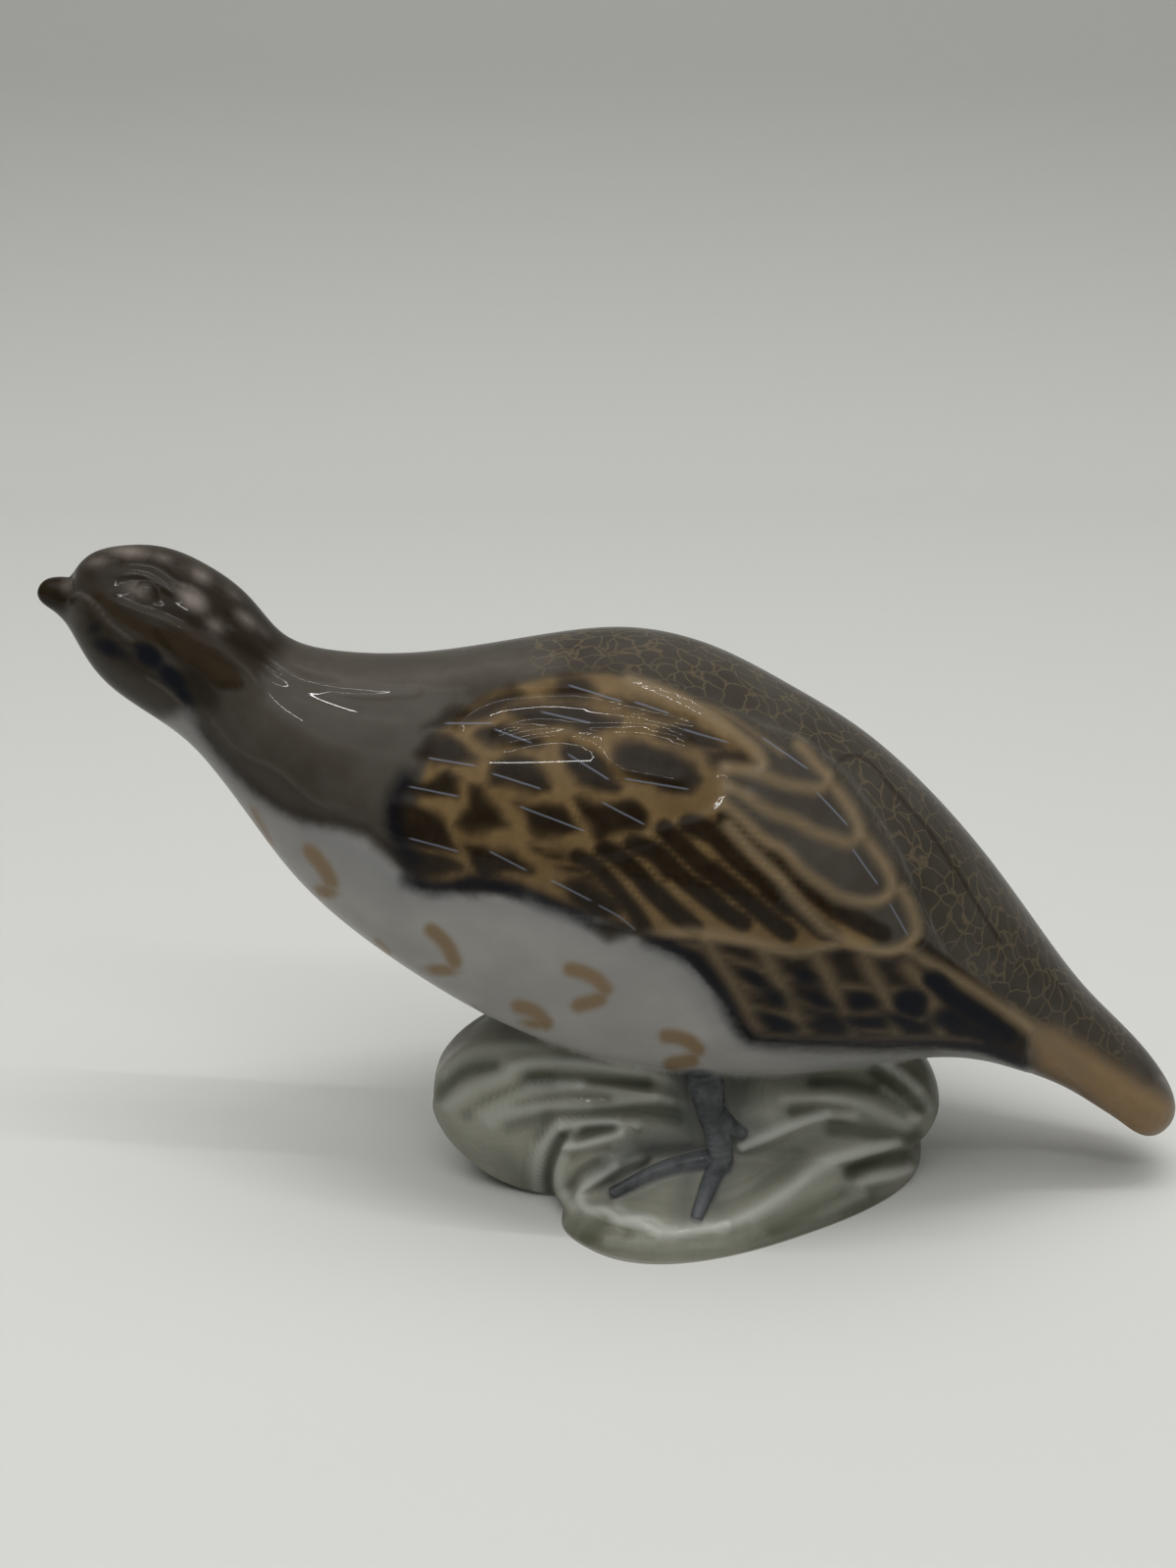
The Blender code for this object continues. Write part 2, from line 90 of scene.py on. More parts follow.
def natural_spline(knots: np.ndarray, values: np.ndarray, at: np.ndarray) -> np.ndarray:
    """Follow the natural cubic spline through rows of values.

    Args:
        knots: Place of each row along the spline.
        values: The rows that the spline passes through.
        at: Places at which it is wanted.

    Returns:
        One row for each place.
    """
    count = len(knots)
    step = np.diff(knots)
    system = np.zeros((count, count))
    right = np.zeros_like(values)
    system[0, 0] = 1.0
    system[-1, -1] = 1.0
    for i in range(1, count - 1):
        system[i, i - 1] = step[i - 1]
        system[i, i] = 2.0 * (step[i - 1] + step[i])
        system[i, i + 1] = step[i]
        slopes = (values[i + 1] - values[i]) / step[i] - (values[i] - values[i - 1]) / step[i - 1]
        right[i] = 3.0 * slopes
    bend = np.linalg.solve(system, right)
    i = np.clip(np.searchsorted(knots, at) - 1, 0, count - 2)
    h = step[i][:, None]
    t = (at - knots[i])[:, None]
    slope = (values[i + 1] - values[i]) / h - h * (2.0 * bend[i] + bend[i + 1]) / 3.0
    return values[i] + t * (slope + t * (bend[i] + t * (bend[i + 1] - bend[i]) / (3.0 * h)))


def reach_along(steps: np.ndarray) -> np.ndarray:
    """Distance along a line at each of its points, from the steps between them."""
    return np.concatenate([[0.0], np.cumsum(steps)])


def rounded(line: Sequence[Sequence[float]], per_step: int = 4) -> np.ndarray:
    """Draw a smooth curve through the points of a line.

    Args:
        line: The points.
        per_step: Points of the curve for each step of the line.

    Returns:
        The curve as closely spaced points.
    """
    points = np.array(line, float)
    if len(points) < 3:
        return points
    steps = len(points) - 1
    knots = reach_along(np.linalg.norm(np.diff(points, axis=0), axis=1))
    at = np.interp(np.linspace(0, steps, steps * per_step + 1), range(len(points)), knots)
    return natural_spline(knots, points, at)


def distance_to_line(places: np.ndarray, line: np.ndarray) -> np.ndarray:
    """Measure the shortest distance from places to a line.

    Args:
        places: The places.
        line: Points of the line.

    Returns:
        One distance for each place.
    """
    nearest = np.full(len(places), np.inf)
    for start, end in zip(line[:-1], line[1:]):
        run = end - start
        share = np.clip(((places - start) @ run) / max(float(run @ run), TINY), 0.0, 1.0)
        nearest = np.minimum(nearest, np.linalg.norm(places - start - share[:, None] * run, axis=1))
    return nearest


def depth_inside(places: np.ndarray, outline: Line) -> np.ndarray:
    """Measure how deep places lie inside a closed outline.

    Args:
        places: The places.
        outline: Corners of the outline.

    Returns:
        Distance to the outline, positive inside it and negative outside.
    """
    ring = np.array(outline + outline[:1], float)
    inside = np.zeros(len(places), bool)
    for (ax, ay), (bx, by) in zip(ring[:-1], ring[1:]):
        crosses = (ay > places[:, 1]) != (by > places[:, 1])
        reach = ax + (places[:, 1] - ay) * (bx - ax) / ((by - ay) or TINY)
        inside ^= crosses & (places[:, 0] < reach)
    edge = distance_to_line(places, ring)
    return np.where(inside, edge, -edge)


@dataclass(frozen=True)
class PictureView:
    """The picture's camera, in millimetres, and the way from a point to its pixel."""

    eye: Place = (-8.3, -330.0, 188.0)
    pitch: float = 17.5
    focal: float = 1830.0
    width: float = 1200.0
    height: float = 1600.0
    film: float = 36.0
    nearest: float = 10.0
    farthest: float = 20000.0

    @staticmethod
    def on_near_flank(points: np.ndarray) -> np.ndarray:
        """Points with those of the far flank mirrored to the near one."""
        near = points.copy()
        near[:, 1] = -np.abs(near[:, 1])
        return near

    def places(self, points: np.ndarray) -> np.ndarray:
        """Look points up in the picture, the far flank as if it were the near one.

        Args:
            points: Points, in millimetres.

        Returns:
            Their pixels.
        """
        run = self.on_near_flank(points) - np.array(self.eye)
        c = math.cos(math.radians(self.pitch))
        s = math.sin(math.radians(self.pitch))
        ahead = run[:, 1] * c - run[:, 2] * s
        up = run[:, 1] * s + run[:, 2] * c
        return np.stack([self.width / 2.0 + self.focal * run[:, 0] / ahead,
                         self.height / 2.0 - self.focal * up / ahead], axis=1)

    def facing(self, points: np.ndarray, normals: np.ndarray) -> np.ndarray:
        """Say how squarely points face the camera, with the far flank mirrored to the near one.

        Args:
            points: Points, in millimetres.
            normals: Their unit normals.

        Returns:
            Cosine between each normal and the way to the camera.
        """
        out = normals.copy()
        out[:, 1] = np.where(points[:, 1] > 0.0, -out[:, 1], out[:, 1])
        way = np.array(self.eye) - self.on_near_flank(points)
        return np.sum(out * way, axis=1) / np.linalg.norm(way, axis=1)

    def make_camera(self) -> bpy.types.Object:
        """Create the camera and make it the scene's own."""
        data = bpy.data.cameras.new("picture_camera")
        data.sensor_width = self.film
        data.lens = self.focal / self.height * self.film
        data.clip_start = self.nearest * MM
        data.clip_end = self.farthest * MM
        camera = link_object("picture_camera", data)
        camera.location = Vector(self.eye) * MM
        camera.rotation_euler = (math.radians(90.0 - self.pitch), 0.0, 0.0)
        bpy.context.scene.camera = camera
        return camera


def close_to(places: np.ndarray, line: Line, reach: float) -> np.ndarray:
    """Whether each place lies within a reach of the box around a line."""
    low = np.min(np.array(line), axis=0) - reach
    high = np.max(np.array(line), axis=0) + reach
    return np.all((places > low) & (places < high), axis=1)


@dataclass(frozen=True)
class Ridge:
    """A carved ridge, or a furrow where its rise is negative, along a line of picture pixels."""

    rise: float
    width: float
    line: Line
    fade: float = 3.0

    def height_at(self, places: np.ndarray) -> np.ndarray:
        """Work out how far the ridge stands out; it has faded away at some widths from its line.

        Args:
            places: Pixels.

        Returns:
            Millimetres for each place.
        """
        reach = self.width * PIXELS_PER_MM
        close = close_to(places, self.line, self.fade * reach)
        rise = np.zeros(len(places))
        gap = distance_to_line(places[close], rounded(self.line)) / reach
        rise[close] = self.rise * np.exp(-gap * gap)
        return rise


WING_LOWER_EDGE: Line = (
    (1048, 1088), (1000, 1072), (940, 1066), (850, 1063), (765, 1060), (740, 1020), (700, 975),
    (660, 957), (620, 940), (570, 925), (530, 908), (480, 908), (430, 905))
WING_OUTLINE: Line = (
    (425, 800), (440, 748), (470, 720), (505, 700), (560, 684), (620, 680), (690, 700), (760, 735),
    (820, 758), (860, 790), (890, 830), (915, 870), (940, 930), (965, 975), (1010, 1010), (1050, 1050),
    *WING_LOWER_EDGE, (412, 860))


def grid_normals(points: np.ndarray) -> np.ndarray:
    """Work out the outward normals of a grid of rings.

    Args:
        points: Rows of rings of points.

    Returns:
        A unit normal for each point.
    """
    along = np.gradient(points, axis=0)
    about = np.roll(points, -1, axis=1) - np.roll(points, 1, axis=1)
    normals = np.cross(along, about)
    normals = normals / np.maximum(np.linalg.norm(normals, axis=2, keepdims=True), TINY)
    facing = np.sum(normals * (points - points.mean(axis=1, keepdims=True)))
    return normals if facing > 0.0 else -normals


def link_object(name: str, data: bpy.types.ID) -> bpy.types.Object:
    """Make an object of some data in the scene."""
    item = bpy.data.objects.new(name, data)
    bpy.context.scene.collection.objects.link(item)
    return item


def evaluated_mesh(item: bpy.types.Object) -> bpy.types.Mesh:
    """A plain mesh of an object with its modifiers applied."""
    return bpy.data.meshes.new_from_object(item.evaluated_get(bpy.context.evaluated_depsgraph_get()))


def object_from(name: str, mesh: bmesh.types.BMesh, region: Region) -> bpy.types.Object:
    """Make an object of a mesh under construction.

    Args:
        name: Name of the object.
        mesh: The mesh, which is used up.
        region: Part of the figure that its faces belong to.

    Returns:
        The object, linked to the scene.
    """
    for face in mesh.faces:
        face.material_index = region.value
    data = bpy.data.meshes.new(name)
    mesh.to_mesh(data)
    mesh.free()
    return link_object(name, data)


def mesh_from_rings(name: str, points: np.ndarray, region: Region,
                    flat_ends: tuple[bool, bool]) -> bpy.types.Object:
    """Make a closed mesh object from rows of rings.

    Args:
        name: Name of the object.
        points: Rows of rings of points, in millimetres.
        region: Part of the figure that its faces belong to.
        flat_ends: Whether the first and the last ring are closed by a flat face, not by a point.

    Returns:
        The object, linked to the scene.
    """
    rows, around = points.shape[:2]
    mesh = bmesh.new()
    first = 0 if flat_ends[0] else 1
    last = rows if flat_ends[1] else rows - 1
    rings = [[mesh.verts.new(point * MM) for point in points[k]] for k in range(first, last)]
    for upper, lower in zip(rings[:-1], rings[1:]):
        for j in range(around):
            following = (j + 1) % around
            mesh.faces.new((upper[j], upper[following], lower[following], lower[j]))
    for flat, ring, row in ((flat_ends[0], rings[0], points[0]), (flat_ends[1], rings[-1], points[-1])):
        if flat:
            mesh.faces.new(ring)
            continue
        tip = mesh.verts.new(row.mean(axis=0) * MM)
        for j in range(around):
            mesh.faces.new((ring[j], ring[(j + 1) % around], tip))
    bmesh.ops.recalc_face_normals(mesh, faces=mesh.faces)
    return object_from(name, mesh, region)


@dataclass
class Bird:
    """The partridge's body, a loft from beak to tail between a line along the back and one along the keel."""

    view: PictureView
    setback: float = 0.3
    rings: int = 272
    around: int = 248
    fine_places: int = 4000
    fine_turns: int = 2000
    least_half_width: float = 0.05
    wing_rise: float = 1.6
    wing_edge: float = 3.6
    # The wing rises to its full height over these pixels, from a share of it at the shoulder.
    shoulder: float = 560.0
    shoulder_run: float = 260.0
    shoulder_share: float = 0.3
    # Width of the wing's edge, as a share of wing_edge, and how much of it goes at full height.
    edge_widest: float = 1.6
    edge_less: float = 0.7
    # Carving fades where the surface turns away from the camera, from this cosine.
    facing_full: float = 0.25
    facing_more: float = 0.2
    # Back x and z, keel x and z, and half width, from beak to tail.
    stations: tuple[tuple[float, ...], ...] = (
        (-111.4, 121.5, -111.4, 121.3, 0.2),
        (-110.4, 123.3, -110.6, 119.7, 2.0),
        (-108.0, 124.3, -108.4, 118.0, 3.3),
        (-105.2, 124.6, -106.0, 115.6, 4.8),
        (-103.2, 126.6, -103.9, 112.2, 7.2),
        (-100.2, 129.0, -101.2, 107.4, 10.0),
        (-94.5, 130.2, -97.2, 102.8, 12.2),
        (-87.5, 129.8, -91.4, 98.4, 13.0),
        (-80.0, 126.6, -85.0, 93.4, 13.2),
        (-72.8, 121.0, -79.8, 87.2, 13.5),
        (-67.0, 113.8, -74.2, 79.2, 15.5),
        (-57.5, 110.0, -66.2, 67.8, 20.0),
        (-44.0, 109.2, -54.8, 56.4, 26.0),
        (-30.0, 110.6, -39.8, 45.4, 31.5),
        (-15.0, 113.0, -22.5, 35.6, 36.0),
        (0.0, 114.0, -4.0, 29.4, 38.0),
        (15.0, 110.6, 14.0, 26.6, 38.0),
        (30.0, 103.0, 32.0, 26.6, 35.5),
        (45.0, 93.6, 49.0, 28.0, 30.5),
        (58.0, 82.0, 64.0, 28.4, 24.5),
        (70.0, 68.5, 77.0, 25.2, 19.0),
        (82.0, 52.6, 87.6, 20.6, 15.0),
        (92.5, 39.6, 94.8, 16.0, 12.8),
        (101.5, 30.6, 99.8, 12.4, 11.0),
        (107.4, 23.6, 103.8, 9.6, 8.4),
        (110.4, 18.4, 107.0, 9.2, 5.2),
        (111.2, 14.8, 109.4, 10.8, 2.4),
        (111.0, 12.9, 110.7, 12.3, 0.3),
    )
    # Place along the body and the distance between rings there.
    ring_spacing: Line = ((-112, 0.5), (-104, 0.7), (-72, 0.9), (-58, 1.3), (-46, 0.75), (-38, 0.62),
                          (76, 0.62), (90, 1.0), (112, 0.7))
    # Angle from the back and the relative distance between points there.
    turn_spacing: Line = ((0, 1.25), (18, 1.0), (120, 1.0), (140, 1.4), (160, 2.6), (180, 3.4))
    ridges: tuple[Ridge, ...] = (
        Ridge(0.55, 0.9, (
            (470, 742), (485, 728), (505, 719), (540, 714), (600, 714), (640, 724), (690, 737),
            (740, 756))),
        Ridge(0.45, 0.8, ((508, 747), (540, 737), (600, 741), (660, 743), (700, 757))),
        Ridge(0.4, 0.8, ((517, 759), (560, 751), (600, 755), (615, 765), (625, 780), (650, 790), (690, 798))),
        Ridge(0.4, 1.3, ((740, 790), (744, 812), (735, 827), (715, 840), (685, 848), (655, 858), (600, 872))),
        Ridge(0.3, 0.6, (
            (217, 736), (240, 763), (262, 776), (280, 784), (300, 800), (320, 817), (340, 825),
            (358, 827))),
        Ridge(0.5, 0.8, ((642, 693), (693, 713), (732, 736), (757, 754), (780, 772))),
        Ridge(0.5, 0.9, ((776, 790), (802, 800), (830, 806), (846, 797))),
        Ridge(0.5, 0.9, ((764, 814), (810, 837), (853, 857), (877, 855), (872, 832))),
        Ridge(0.5, 0.9, ((784, 860), (838, 903), (879, 921), (908, 913), (904, 885))),
        Ridge(0.6, 0.9, ((797, 898), (828, 934), (863, 959), (896, 971), (927, 964), (937, 945), (920, 908))),
        Ridge(0.5, 1.0, ((660, 957), (725, 960), (787, 970), (853, 966), (904, 974), (935, 957))),
        Ridge(-0.55, 0.7, ((836, 775), (856, 805), (876, 842), (900, 884), (922, 915))),
        Ridge(0.35, 0.8, ((828, 768), (850, 792), (872, 827))),
        Ridge(-0.4, 0.8, ((345, 706), (375, 709), (400, 708), (425, 706))),
    )
    head_ridges: tuple[Ridge, ...] = (
        Ridge(0.45, 0.9, ((130, 577), (163, 582), (178, 594), (199, 602), (215, 617))),
        Ridge(0.35, 0.7, ((124, 588), (142, 587), (160, 595), (178, 606))),
        Ridge(0.5, 0.9, ((122, 617), (142, 625), (163, 632), (183, 641), (214, 659), (250, 682), (264, 701))),
        Ridge(0.4, 1.0, ((239, 645), (260, 659), (280, 675), (295, 687), (341, 701))),
        Ridge(-0.5, 0.7, ((79, 602), (97, 614), (107, 629), (117, 639), (132, 650))),
        Ridge(-0.6, 0.8, ((72, 583), (70, 592), (72, 604))),
        Ridge(-0.3, 0.8, ((122, 600), (133, 592), (147, 592), (158, 602), (160, 612))),
        Ridge(-0.4, 1.0, ((205, 640), (235, 655), (262, 672), (283, 690))),
    )

    def sections(self, count: int, start: float = 0.0, end: float = 1.0) -> np.ndarray:
        """Rows of back, keel and half width along the body, spaced as ring_spacing says.

        Args:
            count: Number of rows.
            start: Where they begin, as a share of the stations.
            end: Where they end, as a share of the stations.

        Returns:
            Rows of back x, back z, keel x, keel z and half width.
        """
        drawn = np.array(self.stations)
        drawn[:, [0, 2]] += self.setback
        rail = (np.hypot(np.diff(drawn[:, 0]), np.diff(drawn[:, 1]))
                + np.hypot(np.diff(drawn[:, 2]), np.diff(drawn[:, 3]))) / 2.0
        knots = reach_along(np.sqrt(rail * np.maximum(rail, 1.0)))
        fine = np.linspace(start, end, self.fine_places) * knots[-1]
        rows = natural_spline(knots, drawn, fine)
        steps = np.maximum(np.hypot(np.diff(rows[:, 0]), np.diff(rows[:, 1])),
                           np.hypot(np.diff(rows[:, 2]), np.diff(rows[:, 3])))
        middle = (rows[1:, 0] + rows[1:, 2]) / 2.0
        reach = reach_along(steps / np.interp(middle, *np.array(self.ring_spacing).T))
        return natural_spline(knots, drawn, np.interp(np.linspace(0.0, reach[-1], count), reach, fine))

    def turns(self, count: int) -> np.ndarray:
        """Angles about the body, closer together on the flanks than under the belly.

        Args:
            count: Number of angles.

        Returns:
            The angles from the back, in radians.
        """
        fine = np.linspace(0.0, 180.0, self.fine_turns)
        reach = reach_along(np.diff(fine) / np.interp(fine[1:], *np.array(self.turn_spacing).T))
        half = np.interp(np.linspace(0.0, reach[-1], count // 2 + 1), reach, fine)
        return np.radians(np.concatenate([half[:-1], 360.0 - half[::-1][:-1]]))

    def ring_points(self, count: int, around: int, inset: float = 0.0, start: float = 0.0,
                    end: float = 1.0) -> np.ndarray:
        """Lay out the body's rings, each an oval between back and keel.

        Args:
            count: Number of rings.
            around: Points of each ring.
            inset: Distance by which the ovals are drawn in, in millimetres.
            start: Where they begin, as a share of the stations.
            end: Where they end, as a share of the stations.

        Returns:
            Rows of rings of points, in millimetres.
        """
        rows = self.sections(count, start, end)
        back = rows[:, 0:2]
        keel = rows[:, 2:4]
        half_width = np.maximum(rows[:, 4], self.least_half_width)
        centre = (back + keel) / 2.0
        arm = (back - keel) / 2.0
        if inset > 0.0:
            arm = arm * (1.0 - inset / np.hypot(arm[:, 0], arm[:, 1]))[:, None]
            half_width = half_width - inset
        turn = self.turns(around)
        points = np.zeros((count, around, 3))
        points[:, :, 0] = centre[:, 0:1] + arm[:, 0:1] * np.cos(turn)
        points[:, :, 2] = centre[:, 1:2] + arm[:, 1:2] * np.cos(turn)
        points[:, :, 1] = half_width[:, None] * np.sin(turn)
        return points

    def relief(self, points: np.ndarray, normals: np.ndarray) -> np.ndarray:
        """Work out how far wings, feather edges and brows stand out from the smooth body.

        Args:
            points: Points of the smooth body, in millimetres.
            normals: Their unit normals.

        Returns:
            Millimetres for each point.
        """
        places = self.view.places(points)
        facing = smooth_step(self.view.facing(points, normals) / self.facing_full + self.facing_more)
        depth = depth_inside(places, WING_OUTLINE) / PIXELS_PER_MM
        back = smooth_step((places[:, 0] - self.shoulder) / self.shoulder_run)
        full = self.shoulder_share + (1.0 - self.shoulder_share) * back
        edge = self.wing_edge * (self.edge_widest - self.edge_less * full)
        rise = self.wing_rise * full * smooth_step(0.5 + depth / edge)
        for ridge in self.ridges + self.head_ridges:
            rise += ridge.height_at(places) * facing
        return rise

    def build(self) -> bpy.types.Object:
        """Make the body with its carving."""
        grid = self.ring_points(self.rings, self.around)
        normals = grid_normals(grid)
        rise = self.relief(grid.reshape(-1, 3), normals.reshape(-1, 3))
        grid = grid + normals * rise.reshape(grid.shape[:2])[..., None]
        return mesh_from_rings("bird", grid, Region.BIRD, (False, False))


@dataclass
class Rock:
    """The folded rock: rounded lobes run together, each a superellipsoid that may slope."""

    view: PictureView
    rows: int = 88
    around: int = 430
    # How far the rows crowd towards the top, and how much closer the points are on the near side.
    crowding: float = 0.8
    near_share: float = 0.48
    near_turn: float = -0.42
    blend: float = 2.5
    # The foot draws in under this height, and the folds fade towards it.
    tuck: float = 0.6
    tuck_height: float = 2.5
    fold_fade: float = 4.0
    # Where points lie far apart along a ring they are moved towards the middle of their neighbours.
    evening_passes: int = 6
    evening_least: float = 0.12
    evening_more: float = 0.5
    evening_gap: float = 0.8
    core: Place = (16.0, -3.0, 6.0)
    limit: float = 120.0
    bisections: int = 30
    # Centre, half sizes in plan, heights above and below, turn, slope, power in plan, powers above and
    # below.
    lobes: tuple[tuple[Any, ...], ...] = (
        ((11.5, 0.2, 17.0), (51.5, 17.2), (25.0, 29.0), 0.0, 0.0, 2.8, (2.1, 1.7)),
        ((23.2, -7.6, -3.8), (41.7, 21.4), (19.8, 8.9), 34.0, 0.35, 2.55, (3.0, 2.4)),
        ((-4.5, -11.5, 9.0), (11.5, 9.5), (13.0, 13.0), 0.0, 0.0, 2.0, (2.2, 2.0)),
        ((17.0, 13.0, 0.0), (37.0, 19.0), (14.0, 12.0), -8.0, -0.38, 2.0, (3.0, 3.0)),
    )
    folds: tuple[Ridge, ...] = (
        Ridge(1.2, 1.4, ((524, 1088), (545, 1083), (575, 1082), (610, 1085), (650, 1091), (680, 1096))),
        Ridge(-1.2, 1.4, ((542, 1099), (575, 1101), (620, 1103), (660, 1106))),
        Ridge(-1.1, 1.4, ((450, 1118), (460, 1104), (480, 1092), (505, 1088))),
        Ridge(0.8, 1.2, ((452, 1096), (464, 1083), (484, 1071), (520, 1066), (560, 1068))),
        Ridge(1.2, 1.6, ((456, 1127), (472, 1116), (492, 1106), (515, 1098))),
        Ridge(1.2, 1.4, ((490, 1136), (515, 1124), (540, 1113), (570, 1108), (592, 1106))),
        Ridge(0.8, 1.2, ((592, 1106), (630, 1110), (662, 1114), (684, 1122))),
        Ridge(-0.9, 1.2, ((476, 1138), (505, 1120), (540, 1106), (560, 1103))),
        Ridge(0.9, 1.3, ((500, 1146), (530, 1134), (560, 1129), (600, 1129), (640, 1124), (668, 1120))),
        Ridge(-0.9, 1.3, ((530, 1126), (570, 1119), (620, 1120))),
        Ridge(-1.2, 1.4, ((560, 1137), (610, 1136), (650, 1134), (690, 1140))),
        Ridge(-0.8, 1.6, ((520, 1150), (555, 1146), (552, 1160))),
        Ridge(1.2, 1.0, ((572, 1148), (557, 1166), (549, 1190), (548, 1212), (556, 1234))),
        Ridge(-1.5, 1.1, ((574, 1160), (563, 1180), (558, 1202), (560, 1222), (570, 1238))),
        Ridge(1.2, 1.1, ((588, 1156), (578, 1172), (571, 1192), (572, 1214), (584, 1232))),
        Ridge(1.1, 1.0, ((574, 1148), (600, 1145), (628, 1145), (650, 1148))),
        Ridge(-1.4, 1.2, ((588, 1160), (604, 1154), (624, 1152))),
        Ridge(1.1, 1.0, ((580, 1170), (596, 1168), (614, 1163), (634, 1156))),
        Ridge(-0.8, 1.0, ((584, 1180), (600, 1175), (620, 1172))),
        Ridge(-1.1, 1.0, ((610, 1186), (594, 1196), (582, 1212))),
        Ridge(1.4, 1.2, (
            (652, 1180), (630, 1188), (612, 1200), (597, 1212), (592, 1222), (600, 1234), (618, 1236),
            (632, 1246), (652, 1248), (672, 1258), (700, 1258), (740, 1252))),
        Ridge(1.4, 1.5, (
            (740, 1252), (765, 1240), (790, 1224), (815, 1206), (835, 1190), (855, 1182), (885, 1174),
            (915, 1167))),
        Ridge(0.5, 1.0, ((770, 1248), (800, 1228), (825, 1206), (850, 1190))),
        Ridge(-0.3, 2.0, ((620, 1216), (660, 1226), (700, 1230), (740, 1226), (780, 1208), (815, 1184))),
        Ridge(1.4, 1.3, ((757, 1170), (776, 1162), (795, 1154), (820, 1143), (845, 1136), (870, 1138))),
        Ridge(-1.2, 1.4, ((810, 1134), (850, 1130), (880, 1132), (905, 1142), (930, 1158))),
        Ridge(1.2, 1.4, ((800, 1118), (840, 1119), (870, 1125), (900, 1138), (926, 1152))),
        Ridge(-1.1, 1.2, ((830, 1102), (870, 1104), (900, 1116), (925, 1132))),
        Ridge(1.2, 1.1, ((902, 1112), (922, 1126), (934, 1140))),
        Ridge(-1.8, 1.2, ((894, 1090), (912, 1106), (930, 1122), (938, 1130))),
        Ridge(1.1, 1.2, ((900, 1084), (922, 1098), (936, 1112))),
        Ridge(-1.2, 1.4, ((850, 1150), (880, 1156), (905, 1160), (930, 1162))),
        Ridge(-1.6, 1.4, ((870, 1196), (895, 1184), (920, 1179))),
        Ridge(1.2, 1.1, ((880, 1206), (905, 1200), (926, 1194))),
        Ridge(-0.7, 1.4, ((790, 1256), (830, 1236), (860, 1218))),
        Ridge(-0.7, 1.2, ((600, 1262), (625, 1248), (640, 1256))),
        Ridge(0.5, 1.3, ((620, 1266), (660, 1270), (710, 1272), (770, 1262), (830, 1240), (880, 1220))),
    )

    def lobe_value(self, points: np.ndarray, lobe: tuple[Any, ...]) -> np.ndarray:
        """Measure points against a lobe.

        Args:
            points: Points, in millimetres.
            lobe: One row of lobes.

        Returns:
            For each point a number under 1 inside the lobe and over 1 outside.
        """
        (cx, cy, cz), (half_x, half_y), (up, down), turn, slope, plan_power, powers = lobe
        x = points[:, 0] - cx
        y = points[:, 1] - cy
        z = points[:, 2] - cz - slope * y
        c = math.cos(math.radians(turn))
        s = math.sin(math.radians(turn))
        plan = (np.abs((x * c + y * s) / half_x) ** plan_power
                + np.abs((y * c - x * s) / half_y) ** plan_power)
        rise = np.abs(z / np.where(z > 0.0, up, down))
        power = np.where(z > 0.0, powers[0], powers[1])
        return plan ** (power / plan_power) + rise ** power

    def reach(self, start: np.ndarray, directions: np.ndarray, inset: float = 0.0) -> np.ndarray:
        """Measure from a place in the rock to its surface.

        Args:
            start: The place, in millimetres.
            directions: Unit directions from it.
            inset: Distance by which the surface is drawn in.

        Returns:
            Distance along each direction.
        """
        total = np.zeros(len(directions))
        for lobe in self.lobes:
            low = np.zeros(len(directions))
            high = np.full(len(directions), self.limit)
            for _ in range(self.bisections):
                middle = (low + high) / 2.0
                inside = self.lobe_value(start + directions * middle[:, None], lobe) < 1.0
                low = np.where(inside, middle, low)
                high = np.where(inside, high, middle)
            share = np.clip(0.5 + 0.5 * (low - total) / self.blend, 0.0, 1.0)
            total = total * (1.0 - share) + low * share + self.blend * share * (1.0 - share)
        return total - inset

    def foot(self, around: int, inset: float = 0.0) -> np.ndarray:
        """Lay out the rock's outline on the ground.

        Args:
            around: Number of points.
            inset: Distance by which the outline is drawn in, in millimetres.

        Returns:
            Its points, closest together on the near side.
        """
        core = np.array(self.core)
        core[2] = 0.0
        even = np.linspace(0.0, FULL_TURN, around, endpoint=False)
        turn = even - self.near_share * np.cos(even - self.near_turn)
        directions = np.stack([np.cos(turn), np.sin(turn), np.zeros(around)], axis=-1)
        return core + directions * self.reach(core, directions, inset)[:, None]

    def row_points(self, rows: int, around: int, inset: float = 0.0, bottom: float = 0.0) -> np.ndarray:
        """Lay out rows of points over the rock, from its top down to its outline.

        Args:
            rows: Number of rows.
            around: Points of each row.
            inset: Distance by which the surface is drawn in, in millimetres.
            bottom: Height of the last row.

        Returns:
            Rows of points, in millimetres.
        """
        core = np.array(self.core)
        foot = self.foot(around, inset)
        foot[:, 2] = bottom
        to_foot = foot - core
        lowest = np.arccos(to_foot[:, 2] / np.linalg.norm(to_foot, axis=1))
        flat = to_foot[:, :2] / np.linalg.norm(to_foot[:, :2], axis=1, keepdims=True)
        points = np.zeros((rows, around, 3))
        for k in range(rows):
            tilt = lowest * (k / (rows - 1)) ** self.crowding
            out = np.sin(tilt)
            directions = np.stack([out * flat[:, 0], out * flat[:, 1], np.cos(tilt)], axis=-1)
            points[k] = core + directions * self.reach(core, directions, inset)[:, None]
        points[-1] = foot
        return points

    def fold_height(self, points: np.ndarray) -> np.ndarray:
        """Millimetres that the folds stand out at points, before they fade towards the foot."""
        places = self.view.places(points)
        return sum(fold.height_at(places) for fold in self.folds)

